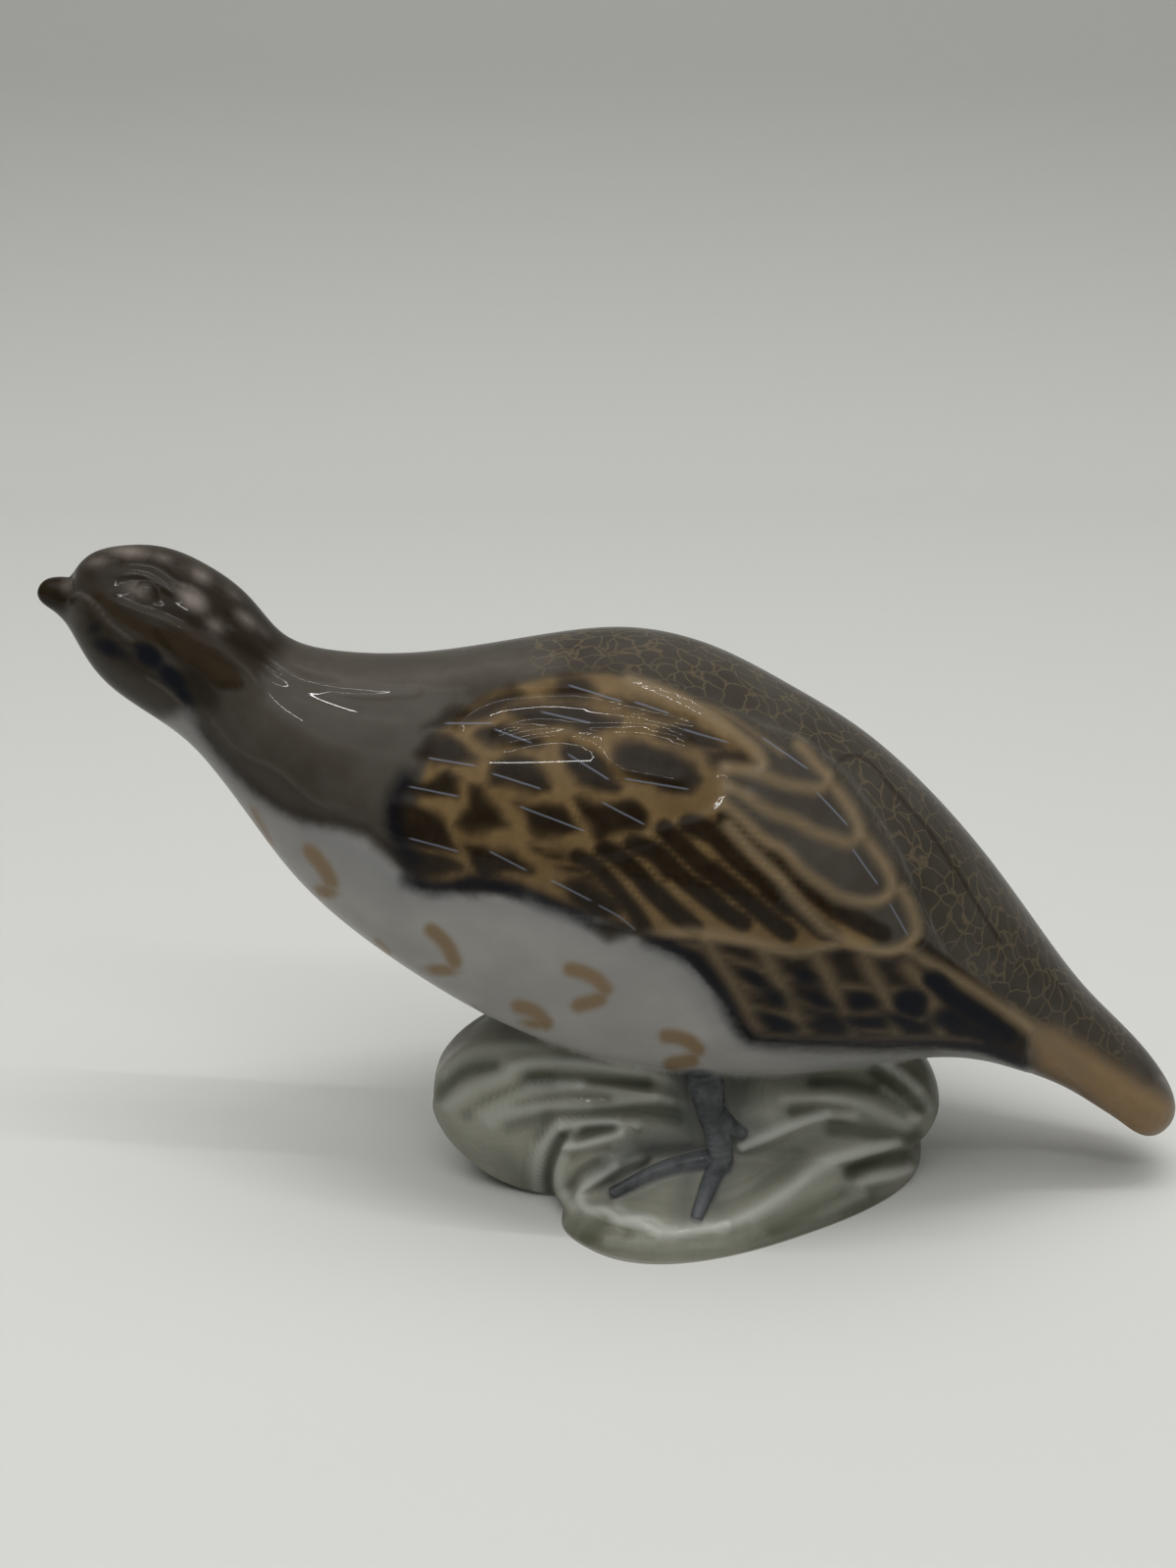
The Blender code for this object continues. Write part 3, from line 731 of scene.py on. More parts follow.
    def height_over(self, x: float, y: float) -> float:
        """Find the height of the rock's smooth surface over a place on the ground.

        Args:
            x: Place along the figure, in millimetres.
            y: Place across it.

        Returns:
            The height.
        """
        low = 0.0
        high = self.limit
        for _ in range(self.bisections):
            middle = (low + high) / 2.0
            place = np.array([[x, y, middle]])
            inside = min(self.lobe_value(place, lobe)[0] for lobe in self.lobes) < 1.0
            low, high = (middle, high) if inside else (low, middle)
        return low

    def build(self) -> bpy.types.Object:
        """Make the rock with its folds, its foot drawn in and its points evened out."""
        grid = self.row_points(self.rows, self.around)
        rise = self.fold_height(grid.reshape(-1, 3)).reshape(grid.shape[:2])
        rise = rise * smooth_step(grid[..., 2] / self.fold_fade)
        rise = rise - self.tuck * (1.0 - np.clip(grid[..., 2] / self.tuck_height, 0.0, 1.0)) ** 2
        grid = grid + grid_normals(grid) * rise[..., None]
        for _ in range(self.evening_passes):
            before = np.roll(grid, 1, axis=1)
            after = np.roll(grid, -1, axis=1)
            spread = np.linalg.norm(after - before, axis=2) / 2.0
            wide = smooth_step((spread - self.evening_gap) / self.evening_gap)
            share = self.evening_least + self.evening_more * wide
            grid[1:-1] += ((before + after) / 2.0 - grid)[1:-1] * share[1:-1, :, None]
        grid[-1, :, 2] = 0.0
        return mesh_from_rings("rock", grid, Region.ROCK, (False, True))


class Wire:
    """An output socket, on which Python's own operators add Math nodes."""

    def __init__(self, graph: "Graph", socket: bpy.types.NodeSocket) -> None:
        """Wrap a socket of a graph's tree."""
        self.graph = graph
        self.socket = socket

    def __add__(self, other: Any) -> "Wire":
        """Sum with a wire or a number."""
        return self.graph.maths("ADD", self, other)

    def __sub__(self, other: Any) -> "Wire":
        """This less a wire or a number."""
        return self.graph.maths("SUBTRACT", self, other)

    def __rsub__(self, other: Any) -> "Wire":
        """A number less this."""
        return self.graph.maths("SUBTRACT", other, self)

    def __mul__(self, other: Any) -> "Wire":
        """Product with a wire or a number."""
        return self.graph.maths("MULTIPLY", self, other)

    def __truediv__(self, other: Any) -> "Wire":
        """This over a wire or a number."""
        return self.graph.maths("DIVIDE", self, other)


class Graph:
    """A node tree under construction, for a material, for the room's light or for Geometry Nodes."""

    def __init__(self, tree: bpy.types.NodeTree) -> None:
        """Start on a tree."""
        self.tree = tree

    def node(self, kind: str, settings: dict[str, Any] | None = None,
             inputs: dict[Any, Any] | None = None) -> bpy.types.Node:
        """Add a node.

        Args:
            kind: The node's type.
            settings: Its own properties, set first.
            inputs: Values, wires or sockets for its inputs, by name or number.

        Returns:
            The node.
        """
        node = self.tree.nodes.new(kind)
        for name, value in (settings or {}).items():
            setattr(node, name, value)
        for name, value in (inputs or {}).items():
            self.feed(node.inputs[name], value)
        return node

    def feed(self, socket: bpy.types.NodeSocket, value: Any) -> None:
        """Give an input its value.

        Args:
            socket: The input.
            value: A wire or a socket that is linked to it, or a plain value.
        """
        if isinstance(value, Wire):
            value = value.socket
        if isinstance(value, bpy.types.NodeSocket):
            self.tree.links.new(value, socket)
        else:
            socket.default_value = value

    def wire(self, kind: str, settings: dict[str, Any] | None = None, inputs: dict[Any, Any] | None = None,
             output: Any = 0) -> Wire:
        """Add a node and return one of its outputs."""
        return Wire(self, self.node(kind, settings, inputs).outputs[output])

    def maths(self, operation: str, *values: Any) -> Wire:
        """Add a Math node on wires or numbers."""
        return self.wire("ShaderNodeMath", {"operation": operation}, dict(enumerate(values)))

    def attribute(self, name: str) -> Wire:
        """A value stored at the points of the mesh."""
        return self.wire("ShaderNodeAttribute", {"attribute_name": name}, output="Fac")

    def coordinates(self) -> Wire:
        """Object coordinates."""
        return self.wire("ShaderNodeTexCoord", output="Object")

    def noise(self, scale: float, detail: float = 3.0, vector: Wire | None = None) -> Wire:
        """Noise about 0.5 on a vector, or on the object's own coordinates."""
        inputs = {"Vector": vector or self.coordinates(), "Scale": scale, "Detail": detail}
        return self.wire("ShaderNodeTexNoise", None, inputs, "Fac")

    def edge(self, value: Wire, middle: float, softness: float) -> Wire:
        """0 to 1 as a value passes a middle, smoothly over a softness on each side."""
        return self.wire("ShaderNodeMapRange", {"interpolation_type": "SMOOTHSTEP"}, {
            "Value": value, "From Min": middle - softness, "From Max": middle + softness})

    def blend(self, share: Any, under: Any, over: Any) -> Wire:
        """Lay one colour over another by a share."""
        low, high = [(*colour, 1.0) if isinstance(colour, tuple) else colour for colour in (under, over)]
        return self.wire("ShaderNodeMix", {"data_type": "RGBA", "clamp_factor": True},
                         {0: share, 6: low, 7: high}, 2)


@dataclass
class Legs:
    """Both legs with their toes, tapered tubes with fine scutes that lie on the rock."""

    rock: Rock
    belly: float = 26.6
    leg_diameter: float = 5.8
    toe_diameter: float = 3.5
    # Place along, place outward and share of the way up from the rock to the belly.
    leg_line: tuple[Place, ...] = (
        (17.6, 18.4, -0.2), (17.0, 18.2, 0.3), (15.2, 17.6, 0.7), (13.6, 16.8, 1.3))
    hind_toe: tuple[Place, ...] = ((16.6, 18.2, 0.60), (19.6, 18.0, 0.42), (22.4, 17.0, 0.30))
    # Place along and place outward of toes that lie on the rock.
    front_toes: tuple[Line, ...] = (
        ((17.6, 17.8), (16.4, 20.4), (14.8, 24.0), (13.4, 27.0), (12.2, 29.6)),
        ((17.0, 18.0), (12.0, 18.6), (7.0, 19.6), (1.4, 21.4), (-3.9, 23.0)),
    )
    leg_swell: tuple[float, ...] = (0.95, 0.9, 1.05, 1.45)
    toe_taper: float = 0.6
    toe_lift: float = 0.2
    scute_length: float = 1.3
    scute_depth: float = 0.012
    step: float = 0.32
    sides: int = 14
    weld: float = 0.01

    def on_rock(self, x: float, outward: float, side: float) -> Place:
        """Centre of a toe that lies on the rock at a place."""
        return x, side * outward, self.rock.height_over(x, side * outward) + self.toe_diameter * self.toe_lift

    def up_leg(self, x: float, outward: float, share: float, side: float) -> Place:
        """A point of the leg, at a share of the way up from the rock to the belly."""
        low = self.on_rock(*self.leg_line[0][:2], side)[2]
        return x, side * outward, low + share * (self.belly + self.leg_diameter / 2.0 - low)

    def lines(self, side: float) -> list[tuple[list[Place], list[float]]]:
        """Lay out a leg, its front toes and its hind toe.

        Args:
            side: -1 for the near side, 1 for the far side.

        Returns:
            Centre line and diameters of each.
        """
        found = [([self.up_leg(*place, side) for place in self.leg_line],
                  [self.leg_diameter * swell for swell in self.leg_swell])]
        toes = [[self.on_rock(x, outward, side) for x, outward in line] for line in self.front_toes]
        toes.append([self.up_leg(*place, side) for place in self.hind_toe])
        for toe in toes:
            taper = 1.0 + self.toe_taper * (0.5 - np.linspace(0.0, 1.0, len(toe)))
            found.append((toe, list(self.toe_diameter * taper)))
        return found

    def node_tree(self) -> bpy.types.GeometryNodeTree:
        """The tree that turns a centre line into a tapered tube with scutes.

        Returns:
            The tree, whose inputs are the step along the line, the scutes' length and depth, the
            tube's sides and its material.
        """
        tree = bpy.data.node_groups.new("scuted_tube", "GeometryNodeTree")
        tree.interface.new_socket("Geometry", in_out="INPUT", socket_type="NodeSocketGeometry")
        for name in ("Step", "Scute Length", "Scute Depth"):
            tree.interface.new_socket(name, in_out="INPUT", socket_type="NodeSocketFloat")
        tree.interface.new_socket("Sides", in_out="INPUT", socket_type="NodeSocketInt")
        tree.interface.new_socket("Material", in_out="INPUT", socket_type="NodeSocketMaterial")
        tree.interface.new_socket("Geometry", in_out="OUTPUT", socket_type="NodeSocketGeometry")
        graph = Graph(tree)
        given = graph.node("NodeGroupInput").outputs
        smooth = graph.wire("GeometryNodeCurveSplineType", {"spline_type": "CATMULL_ROM"},
                            {"Curve": given["Geometry"]})
        fine = graph.wire("GeometryNodeResampleCurve", {"mode": "LENGTH"},
                          {"Curve": smooth, "Length": given["Step"]})
        along = graph.wire("GeometryNodeSplineParameter", output="Length")
        radius = graph.wire("GeometryNodeInputRadius")
        turn = along / Wire(graph, given["Scute Length"]) * FULL_TURN
        swell = graph.maths("SINE", turn) * Wire(graph, given["Scute Depth"]) + 1.0
        swollen = graph.wire("GeometryNodeSetCurveRadius", None, {"Curve": fine, "Radius": radius * swell})
        ring = graph.wire("GeometryNodeCurvePrimitiveCircle", {"mode": "RADIUS"},
                          {"Resolution": given["Sides"], "Radius": 1.0})
        tube = graph.wire("GeometryNodeCurveToMesh", None,
                          {"Curve": swollen, "Profile Curve": ring, "Scale": radius * swell,
                           "Fill Caps": True})
        solid = graph.wire("GeometryNodeMergeByDistance", None,
                           {"Geometry": tube, "Distance": self.weld * MM})
        real = graph.wire("GeometryNodeRealizeInstances", None, {"Geometry": solid})
        dressed = graph.wire("GeometryNodeSetMaterial", None,
                             {"Geometry": real, "Material": given["Material"]})
        graph.node("NodeGroupOutput", None, {"Geometry": dressed})
        return tree

    def centre_line(self, points: list[Place], diameters: list[float]) -> bpy.types.Object:
        """Make the curve along the middle of a leg or a toe.

        Args:
            points: Its points, in millimetres.
            diameters: The tube's diameter at each.

        Returns:
            The curve, linked to the scene.
        """
        curve = bpy.data.curves.new("toe", "CURVE")
        curve.dimensions = "3D"
        spline = curve.splines.new("POLY")
        spline.points.add(len(points) - 1)
        for control, point, diameter in zip(spline.points, points, diameters):
            control.co = (*(value * MM for value in point), 1.0)
            control.radius = diameter / 2.0 * MM
        return link_object("toe", curve)

    def build(self, material: bpy.types.Material) -> list[bpy.types.Object]:
        """Make every leg and toe as a plain closed mesh.

        Args:
            material: What the tubes are made of.

        Returns:
            The meshes, linked to the scene.
        """
        tree = self.node_tree()
        wanted = {"Step": self.step * MM, "Scute Length": self.scute_length * MM,
                  "Scute Depth": self.scute_depth, "Sides": self.sides, "Material": material}
        tubes = []
        for points, diameters in self.lines(-1.0) + self.lines(1.0):
            holder = self.centre_line(points, diameters)
            modifier = holder.modifiers.new("scuted_tube", "NODES")
            modifier.node_group = tree
            for item in tree.interface.items_tree:
                if item.in_out == "INPUT" and item.name in wanted:
                    modifier[item.identifier] = wanted[item.name]
            mesh = bmesh.new()
            mesh.from_mesh(evaluated_mesh(holder))
            bpy.data.objects.remove(holder, do_unlink=True)
            bmesh.ops.recalc_face_normals(mesh, faces=mesh.faces)
            tubes.append(object_from("toe", mesh, Region.LEG))
        return tubes


@dataclass
class Eyes:
    """The two eyes, low domes on the sides of the head."""

    bird: Bird
    diameter: float = 6.4
    rise: float = 0.7
    place: tuple[float, float] = (-89.0, 124.0)
    tilt: float = 8.0
    head_rings: int = 240
    head_around: int = 180
    segments: int = 40
    bands: int = 28

    def build(self) -> list[bpy.types.Object]:
        """Make both domes, sunk in the head all but their rise."""
        points = self.bird.ring_points(self.head_rings, self.head_around).reshape(-1, 3)
        points = points[points[:, 1] > 0.0]
        nearest = points[np.argmin(np.hypot(points[:, 0] - self.place[0] - self.bird.setback,
                                            points[:, 2] - self.place[1]))]
        radius = self.diameter / 2.0
        eyes = []
        for side in (-1.0, 1.0):
            spot = nearest * np.array([1.0, side, 1.0])
            outward = spot - np.array([spot[0], 0.0, spot[2] - self.tilt])
            outward = outward / np.linalg.norm(outward)
            centre = spot - outward * (radius - self.rise)
            mesh = bmesh.new()
            bmesh.ops.create_uvsphere(mesh, u_segments=self.segments, v_segments=self.bands,
                                      radius=radius * MM)
            bmesh.ops.translate(mesh, verts=mesh.verts, vec=Vector(centre) * MM)
            eyes.append(object_from("eye", mesh, Region.BIRD))
        return eyes


@dataclass
class Inside:
    """The space inside the casting, the recess under the foot and the vent through the floor."""

    bird: Bird
    rock: Rock
    wall: float = 4.0
    fold_depth: float = 1.6
    floor: float = 4.5
    recess: float = 1.5
    rim: float = 5.0
    vent_diameter: float = 6.0
    vent_sides: int = 32
    # Where the hollow of the bird begins and ends, as shares of its stations.
    start: float = 0.17
    end: float = 0.83
    bird_grid: tuple[int, int] = (40, 32)
    rock_grid: tuple[int, int] = (12, 48)

    def build(self) -> list[bpy.types.Object]:
        """Make the solids that are cut out of the figure."""
        body = self.bird.ring_points(*self.bird_grid, self.wall, self.start, self.end)
        rock = self.rock.row_points(*self.rock_grid, self.wall + self.fold_depth, self.floor)
        high = self.rock.foot(self.rock.around // 2, self.rim)
        high[:, 2] = self.recess
        low = high.copy()
        low[:, 2] = -self.recess
        turn = np.linspace(0.0, FULL_TURN, self.vent_sides, endpoint=False)
        ring = np.stack([np.cos(turn), np.sin(turn), np.zeros(self.vent_sides)], axis=1)
        ring = ring * self.vent_diameter / 2.0 + np.array([*self.rock.core[:2], 0.0])
        up = np.array([0.0, 0.0, 2.0 * self.floor])
        return [
            mesh_from_rings("inside_bird", body, Region.INSIDE, (False, False)),
            mesh_from_rings("inside_rock", rock, Region.INSIDE, (False, True)),
            mesh_from_rings("recess", np.stack([high, low]), Region.INSIDE, (True, True)),
            mesh_from_rings("vent", np.stack([ring + up, ring - up]), Region.INSIDE, (True, True)),
        ]


class Pigment(Enum):
    """What is painted under the glaze; each is a value stored at the points of the mesh."""

    BROWN = "brown"
    WASH = "wash"
    RUST = "rust"
    OCHRE = "ochre"
    DARK = "dark"
    FRINGE = "fringe"
    BLUE = "blue"
    # Light paint, also laid as painted sheen and painted highlights on the neck and head.
    PALE_AND_SHEEN = "pale"
    MARK = "mark"
    TAIL = "tail"
    BACK = "back"
    # Olive wash in the rock's furrows and patches, also painted shade on its low front.
    MOSS_AND_SHADE = "moss"
    # Painted shade on the rock about the leg and the toes.
    HALO = "halo"
    # Light crests on the folds, partly where the glaze thins and partly painted glints.
    CREST_AND_GLINT = "crest"


@dataclass(frozen=True)
class Stroke:
    """A brush stroke along a line of pixels, or a filled patch where it is closed."""

    pigment: Pigment
    width: float
    line: Line
    strength: float = 1.0
    soft: float = 5.0
    closed: bool = False

    def cover(self, places: np.ndarray) -> np.ndarray:
        """Work out how fully the stroke covers places, half of its strength at its edge.

        Args:
            places: Pixels.

        Returns:
            A share for each place.
        """
        half = self.width / 2.0
        close = close_to(places, self.line, half + self.soft)
        cover = np.zeros(len(places))
        if self.closed:
            inside = depth_inside(places[close], self.line) + half
        else:
            inside = half - distance_to_line(places[close], rounded(self.line))
        cover[close] = self.strength * np.clip(0.5 + inside / (2.0 * self.soft), 0.0, 1.0)
        return cover


@dataclass(frozen=True)
class Blot:
    """An oval touch of the brush."""

    pigment: Pigment
    centre: tuple[float, float]
    radii: tuple[float, float]
    turn: float = 0.0
    strength: float = 1.0
    soft: float = 4.0

    def cover(self, places: np.ndarray) -> np.ndarray:
        """Work out how fully the touch covers places, half of its strength at its edge.

        Args:
            places: Pixels.

        Returns:
            A share for each place.
        """
        x = places[:, 0] - self.centre[0]
        y = places[:, 1] - self.centre[1]
        c = math.cos(math.radians(self.turn))
        s = math.sin(math.radians(self.turn))
        out = np.hypot((x * c + y * s) / self.radii[0], (y * c - x * s) / self.radii[1])
        inside = (1.0 - out) * min(self.radii)
        return self.strength * np.clip(0.5 + inside / (2.0 * self.soft), 0.0, 1.0)


def strokes(pigment: Pigment, width: float, soft: float, strength: float, *lines: Line) -> list[Stroke]:
    """Several strokes of one brush."""
    return [Stroke(pigment, width, line, strength, soft) for line in lines]


def shapes(pigment: Pigment, soft: float, *outlines: tuple[float, Line]) -> list[Stroke]:
    """Several filled patches of one brush, each as strength and outline."""
    return [Stroke(pigment, 0.0, outline, strength, soft, True) for strength, outline in outlines]


def blots(pigment: Pigment, soft: float, *ovals: tuple[float, ...]) -> list[Blot]:
    """Several touches of one brush.

    Args:
        pigment: What they are painted with.
        soft: Softness of their edges, in pixels.
        ovals: Centre u and v, both radii, and where they differ from 0 and 1 the turn and the strength.

    Returns:
        The touches.
    """
    return [Blot(pigment, oval[:2], oval[2:4], *oval[4:], soft=soft) for oval in ovals]


def lay(cover: dict[Pigment, np.ndarray], touches: Sequence[Stroke | Blot], places: np.ndarray) -> None:
    """Paint touches over the cover that each pigment has at places so far; the strongest holds."""
    for touch in touches:
        cover[touch.pigment] = np.maximum(cover[touch.pigment], touch.cover(places))


@dataclass
class Plumage:
    """The painting of the bird, in strokes and touches at their pixels."""

    view: PictureView
    # Softness of the brown's lower edge on the breast and on the wing, and where the one turns into
    # the other.
    breast_soft: float = 13.0
    wing_soft: float = 5.0
    wing_front: float = 440.0
    wing_front_run: float = 70.0
    # Paint stops where the surface looks away from the camera and downwards, at these cosines.
    away: float = 0.10
    away_run: float = 0.16
    down: float = -0.15
    down_run: float = 0.3
    brown_ground: Line = (
        (20, 520), (1210, 520), (1210, 1180), (1150, 1170), (1100, 1112), *WING_LOWER_EDGE, (400, 878),
        (374, 852), (342, 843), (310, 838), (285, 826), (262, 810), (240, 788), (222, 766), (206, 742),
        (190, 722), (150, 740), (60, 720), (20, 620))
    patches: tuple[Stroke, ...] = (
        Stroke(Pigment.BACK, 0, (
            (540, 700), (548, 600), (700, 560), (1220, 900), (1220, 1060), (1140, 1080), (1090, 1058),
            (1048, 1040), (1010, 1008), (965, 973), (940, 930), (915, 870), (890, 830), (860, 790),
            (820, 758), (760, 735), (690, 700), (620, 680), (560, 684)), 1.0, 9, True),
        Stroke(Pigment.OCHRE, 0, (
            (428, 800), (443, 750), (472, 724), (505, 704), (560, 690), (620, 686), (690, 704), (740, 730),
            (778, 768), (768, 784), (742, 792), (743, 815), (722, 838), (690, 846), (655, 858), (606, 878),
            (580, 905), (604, 930), (640, 944), (620, 938), (570, 922), (530, 905), (480, 905), (432, 902),
            (418, 860)), 1.0, 7, True),
        Stroke(Pigment.OCHRE, 0, (
            (560, 880), (600, 868), (660, 850), (700, 838), (742, 818), (755, 832), (800, 868), (860, 926),
            (905, 958), (880, 970), (787, 968), (725, 960), (662, 955), (640, 946), (600, 925),
            (568, 902)), 1.0, 6, True),
        Stroke(Pigment.DARK, 0, (
            (662, 958), (725, 962), (787, 972), (853, 968), (904, 976), (940, 958), (965, 978),
            (1010, 1012), (1048, 1052), (1046, 1086), (1000, 1070), (940, 1063), (850, 1060), (765, 1057),
            (740, 1020), (700, 975)), 0.86, 5, True),
        Stroke(Pigment.TAIL, 0, (
            (1046, 1050), (1078, 1050), (1120, 1076), (1165, 1106), (1210, 1128), (1210, 1170),
            (1150, 1170), (1105, 1120), (1060, 1092)), 1.0, 18, True),
        Stroke(Pigment.RUST, 0, (
            (102, 612), (125, 620), (160, 640), (185, 650), (205, 662), (230, 672), (245, 685), (246, 695),
            (230, 702), (215, 692), (200, 678), (180, 668), (165, 660), (150, 654), (130, 642),
            (110, 627)), 1.0, 6, True),
        Stroke(Pigment.DARK, 0, (
            (28, 578), (71, 582), (70, 596), (78, 612), (66, 624), (34, 612)), 0.62, 6, True),
    )
    coverts: tuple[Stroke, ...] = tuple(shapes(
        Pigment.DARK, 12.0,
        (0.85, ((426, 768), (440, 756), (458, 752), (472, 760), (480, 773), (462, 779), (440, 778))),
        (1.0, ((418, 804), (440, 797), (458, 791), (467, 799), (464, 810), (440, 810))),
        (1.0, ((402, 828), (418, 820), (436, 830), (448, 840), (458, 856), (464, 868), (440, 862),
               (405, 856))),
        (1.0, ((405, 872), (430, 868), (452, 874), (466, 886), (450, 892), (425, 888))),
        (0.8, ((466, 838), (478, 822), (484, 804), (494, 802), (500, 820), (516, 842), (500, 848),
               (480, 846))),
        (1.0, ((480, 866), (494, 863), (508, 870), (524, 876), (538, 888), (515, 889), (492, 888),
               (482, 880))),
        (1.0, ((503, 784), (520, 775), (540, 777), (554, 790), (562, 802), (545, 806), (518, 798),
               (505, 795))),
        (1.0, ((532, 822), (553, 821), (572, 830), (586, 846), (574, 853), (558, 850), (541, 839))),
        (1.0, ((573, 768), (584, 762), (602, 767), (614, 780), (624, 792), (632, 802), (612, 804),
               (592, 800), (582, 786))),
        (0.95, ((590, 816), (606, 819), (626, 824), (646, 820), (657, 830), (656, 843), (640, 846),
                (612, 854), (601, 840))),
        (0.86, ((628, 765), (655, 759), (682, 766), (702, 781), (716, 800), (704, 808), (680, 804),
                (658, 798), (640, 791), (626, 779))),
        (0.95, ((516, 727), (545, 721), (580, 723), (610, 729), (634, 738), (606, 743), (570, 737),
                (540, 736))),
        (1.0, ((492, 748), (512, 743), (532, 748), (552, 755), (530, 759), (502, 759))),
        (0.72, ((432, 742), (458, 727), (490, 717), (506, 710), (522, 704), (533, 711), (506, 725),
                (480, 735), (452, 743))),
        (0.68, ((556, 708), (572, 695), (598, 692), (612, 704), (598, 716), (574, 715))),
        (0.62, ((618, 711), (642, 714), (672, 721), (695, 732), (665, 731), (640, 725))),
        (0.82, ((676, 745), (700, 739), (725, 749), (740, 760), (715, 763), (690, 757))),
        (0.72, ((716, 768), (740, 761), (758, 769), (768, 781), (746, 783), (724, 779))),
        (0.9, ((733, 838), (742, 825), (752, 836), (760, 850), (744, 848))),
        (0.62, ((566, 884), (590, 880), (608, 892), (618, 906), (600, 902), (574, 894))),
        (0.95, ((574, 903), (596, 900), (620, 915), (642, 928), (618, 932), (590, 918))),
        (0.8, ((598, 944), (616, 939), (636, 945), (648, 954), (620, 955))),
        (0.7, ((545, 862), (566, 866), (586, 872), (572, 878), (552, 872))),
        (0.8, ((470, 905), (484, 897), (512, 902), (530, 910), (500, 912)))))
    wing_strokes: tuple[Stroke, ...] = tuple(
        strokes(Pigment.DARK, 11, 9.0, 1.0, (
            (588, 874), (606, 883), (620, 897), (634, 914), (648, 931), (658, 947)))
        + strokes(Pigment.DARK, 14, 8.0, 1.05,
            ((616, 866), (640, 881), (656, 898), (670, 914), (690, 932), (708, 947)),
            ((646, 861), (670, 870), (690, 890), (712, 908), (734, 926), (758, 942)),
            ((678, 846), (700, 868), (722, 888), (750, 908), (776, 930), (804, 952)),
            ((702, 841), (728, 853), (748, 873), (774, 896), (802, 918), (828, 940), (850, 957)),
            ((740, 836), (764, 855), (790, 877), (816, 899), (842, 919), (868, 936), (900, 953)))
        + strokes(Pigment.DARK, 16, 9.0, 0.95,
            ((622, 869), (636, 878), (646, 888)),
            ((654, 864), (670, 872), (684, 888)),
            ((668, 910), (684, 926), (700, 940)),
            ((684, 852), (700, 868)),
            ((706, 842), (724, 848), (738, 862), (752, 877)),
            ((716, 908), (732, 922)),
            ((726, 888), (748, 906)),
            ((784, 908), (804, 926)),
            ((756, 850), (778, 866), (800, 886)),
            ((828, 910), (850, 926), (872, 937)))
        + strokes(Pigment.FRINGE, 10, 6.5, 0.98,
            ((642, 693), (693, 713), (732, 736), (757, 754), (775, 770), (778, 781), (762, 786)),
            ((741, 783), (776, 790), (802, 800), (822, 804), (840, 803), (846, 795), (837, 784),
             (825, 770), (815, 760)),
            ((741, 801), (764, 814), (784, 827), (810, 837), (833, 850), (853, 857), (868, 860),
             (877, 853), (876, 842), (868, 827), (858, 811), (845, 797)),
            ((741, 822), (764, 842), (784, 860), (800, 868), (815, 885), (838, 903), (858, 916),
             (879, 921), (896, 920), (908, 911), (910, 903), (904, 885), (894, 870), (884, 857), (876, 847)),
            ((743, 842), (764, 865), (782, 883), (797, 898), (810, 916), (828, 934), (843, 949),
             (863, 959), (879, 967), (896, 971), (912, 970), (927, 962), (935, 949), (933, 936),
             (927, 921), (919, 908)))
        + strokes(Pigment.FRINGE, 5, 4.5, 0.7, ((698, 713), (739, 728), (778, 754), (798, 769)))
        + strokes(Pigment.FRINGE, 10, 6.0, 0.92, (
            (660, 955), (700, 952), (725, 953), (751, 957), (776, 963), (802, 971), (827, 971), (848, 964),
            (860, 960)))
        + strokes(Pigment.FRINGE, 13, 9.0, 0.76,
            ((720, 958), (734, 984), (750, 1010), (764, 1034), (775, 1056)),
            ((778, 966), (788, 990), (800, 1012), (812, 1038), (822, 1057)),
            ((831, 970), (841, 990), (852, 1012), (862, 1036), (870, 1056)),
            ((881, 974), (890, 994), (900, 1012), (908, 1032), (914, 1058)),
            ((926, 986), (944, 1010), (954, 1030), (960, 1056)))
        + strokes(Pigment.FRINGE, 7, 5.0, 0.6,
            ((692, 962), (722, 970), (760, 984), (800, 997), (850, 1005), (900, 1010), (938, 1010)),
            ((736, 992), (762, 1007), (800, 1018), (850, 1029), (900, 1035), (940, 1040)),
            ((752, 1022), (790, 1034), (830, 1041), (872, 1048), (920, 1055)))
        + strokes(Pigment.FRINGE, 7, 4.0, 0.75, ((775, 1057), (850, 1061), (930, 1060), (1000, 1062)))
        + strokes(Pigment.FRINGE, 12, 6.0, 0.84, (
            (925, 968), (950, 984), (985, 1004), (1030, 1034), (1062, 1054)))
        + strokes(Pigment.FRINGE, 15, 7.0, 0.9, ((1030, 1034), (1062, 1056), (1083, 1072), (1104, 1092)))
        + strokes(Pigment.BLUE, 12, 12.0, 0.85,
            ((416, 897), (440, 906), (462, 904), (484, 899), (510, 904), (530, 911), (560, 922), (600, 938)),
            ((660, 957), (700, 975), (740, 1020), (760, 1054), (800, 1063), (904, 1066), (981, 1067),
             (1010, 1072), (1040, 1090)))
        + strokes(Pigment.BLUE, 15, 7.0, 0.95, ((950, 1000), (981, 1024), (1006, 1041), (1028, 1056)))
        + strokes(Pigment.DARK, 3, 3.5, 0.52, (
            (853, 792), (854, 780), (867, 771), (907, 800), (947, 847), (987, 907), (1020, 960)))
        + strokes(Pigment.BLUE, 20, 11.0, 0.58, ((414, 795), (402, 820), (404, 850), (420, 878))))
    cells: tuple[Blot, ...] = tuple(blots(
        Pigment.BLUE, 9.0,
        (930, 1022, 15, 11, 40),
        (925, 1044, 20, 6, 10),
        (882, 1042, 20, 5, 8),
        (848, 1046, 18, 5, 8),
        (838, 1024, 14, 6, 20),
        (790, 1016, 14, 5, 20),
        (795, 1044, 14, 5, 15),
        (972, 1045, 16, 9, 20),
        (960, 1002, 10, 6, 35),
        (880, 1022, 14, 6, 15),
        (1000, 1056, 14, 7, 20),
        (820, 1000, 10, 5, 20),
        (770, 1000, 9, 4, 30)))
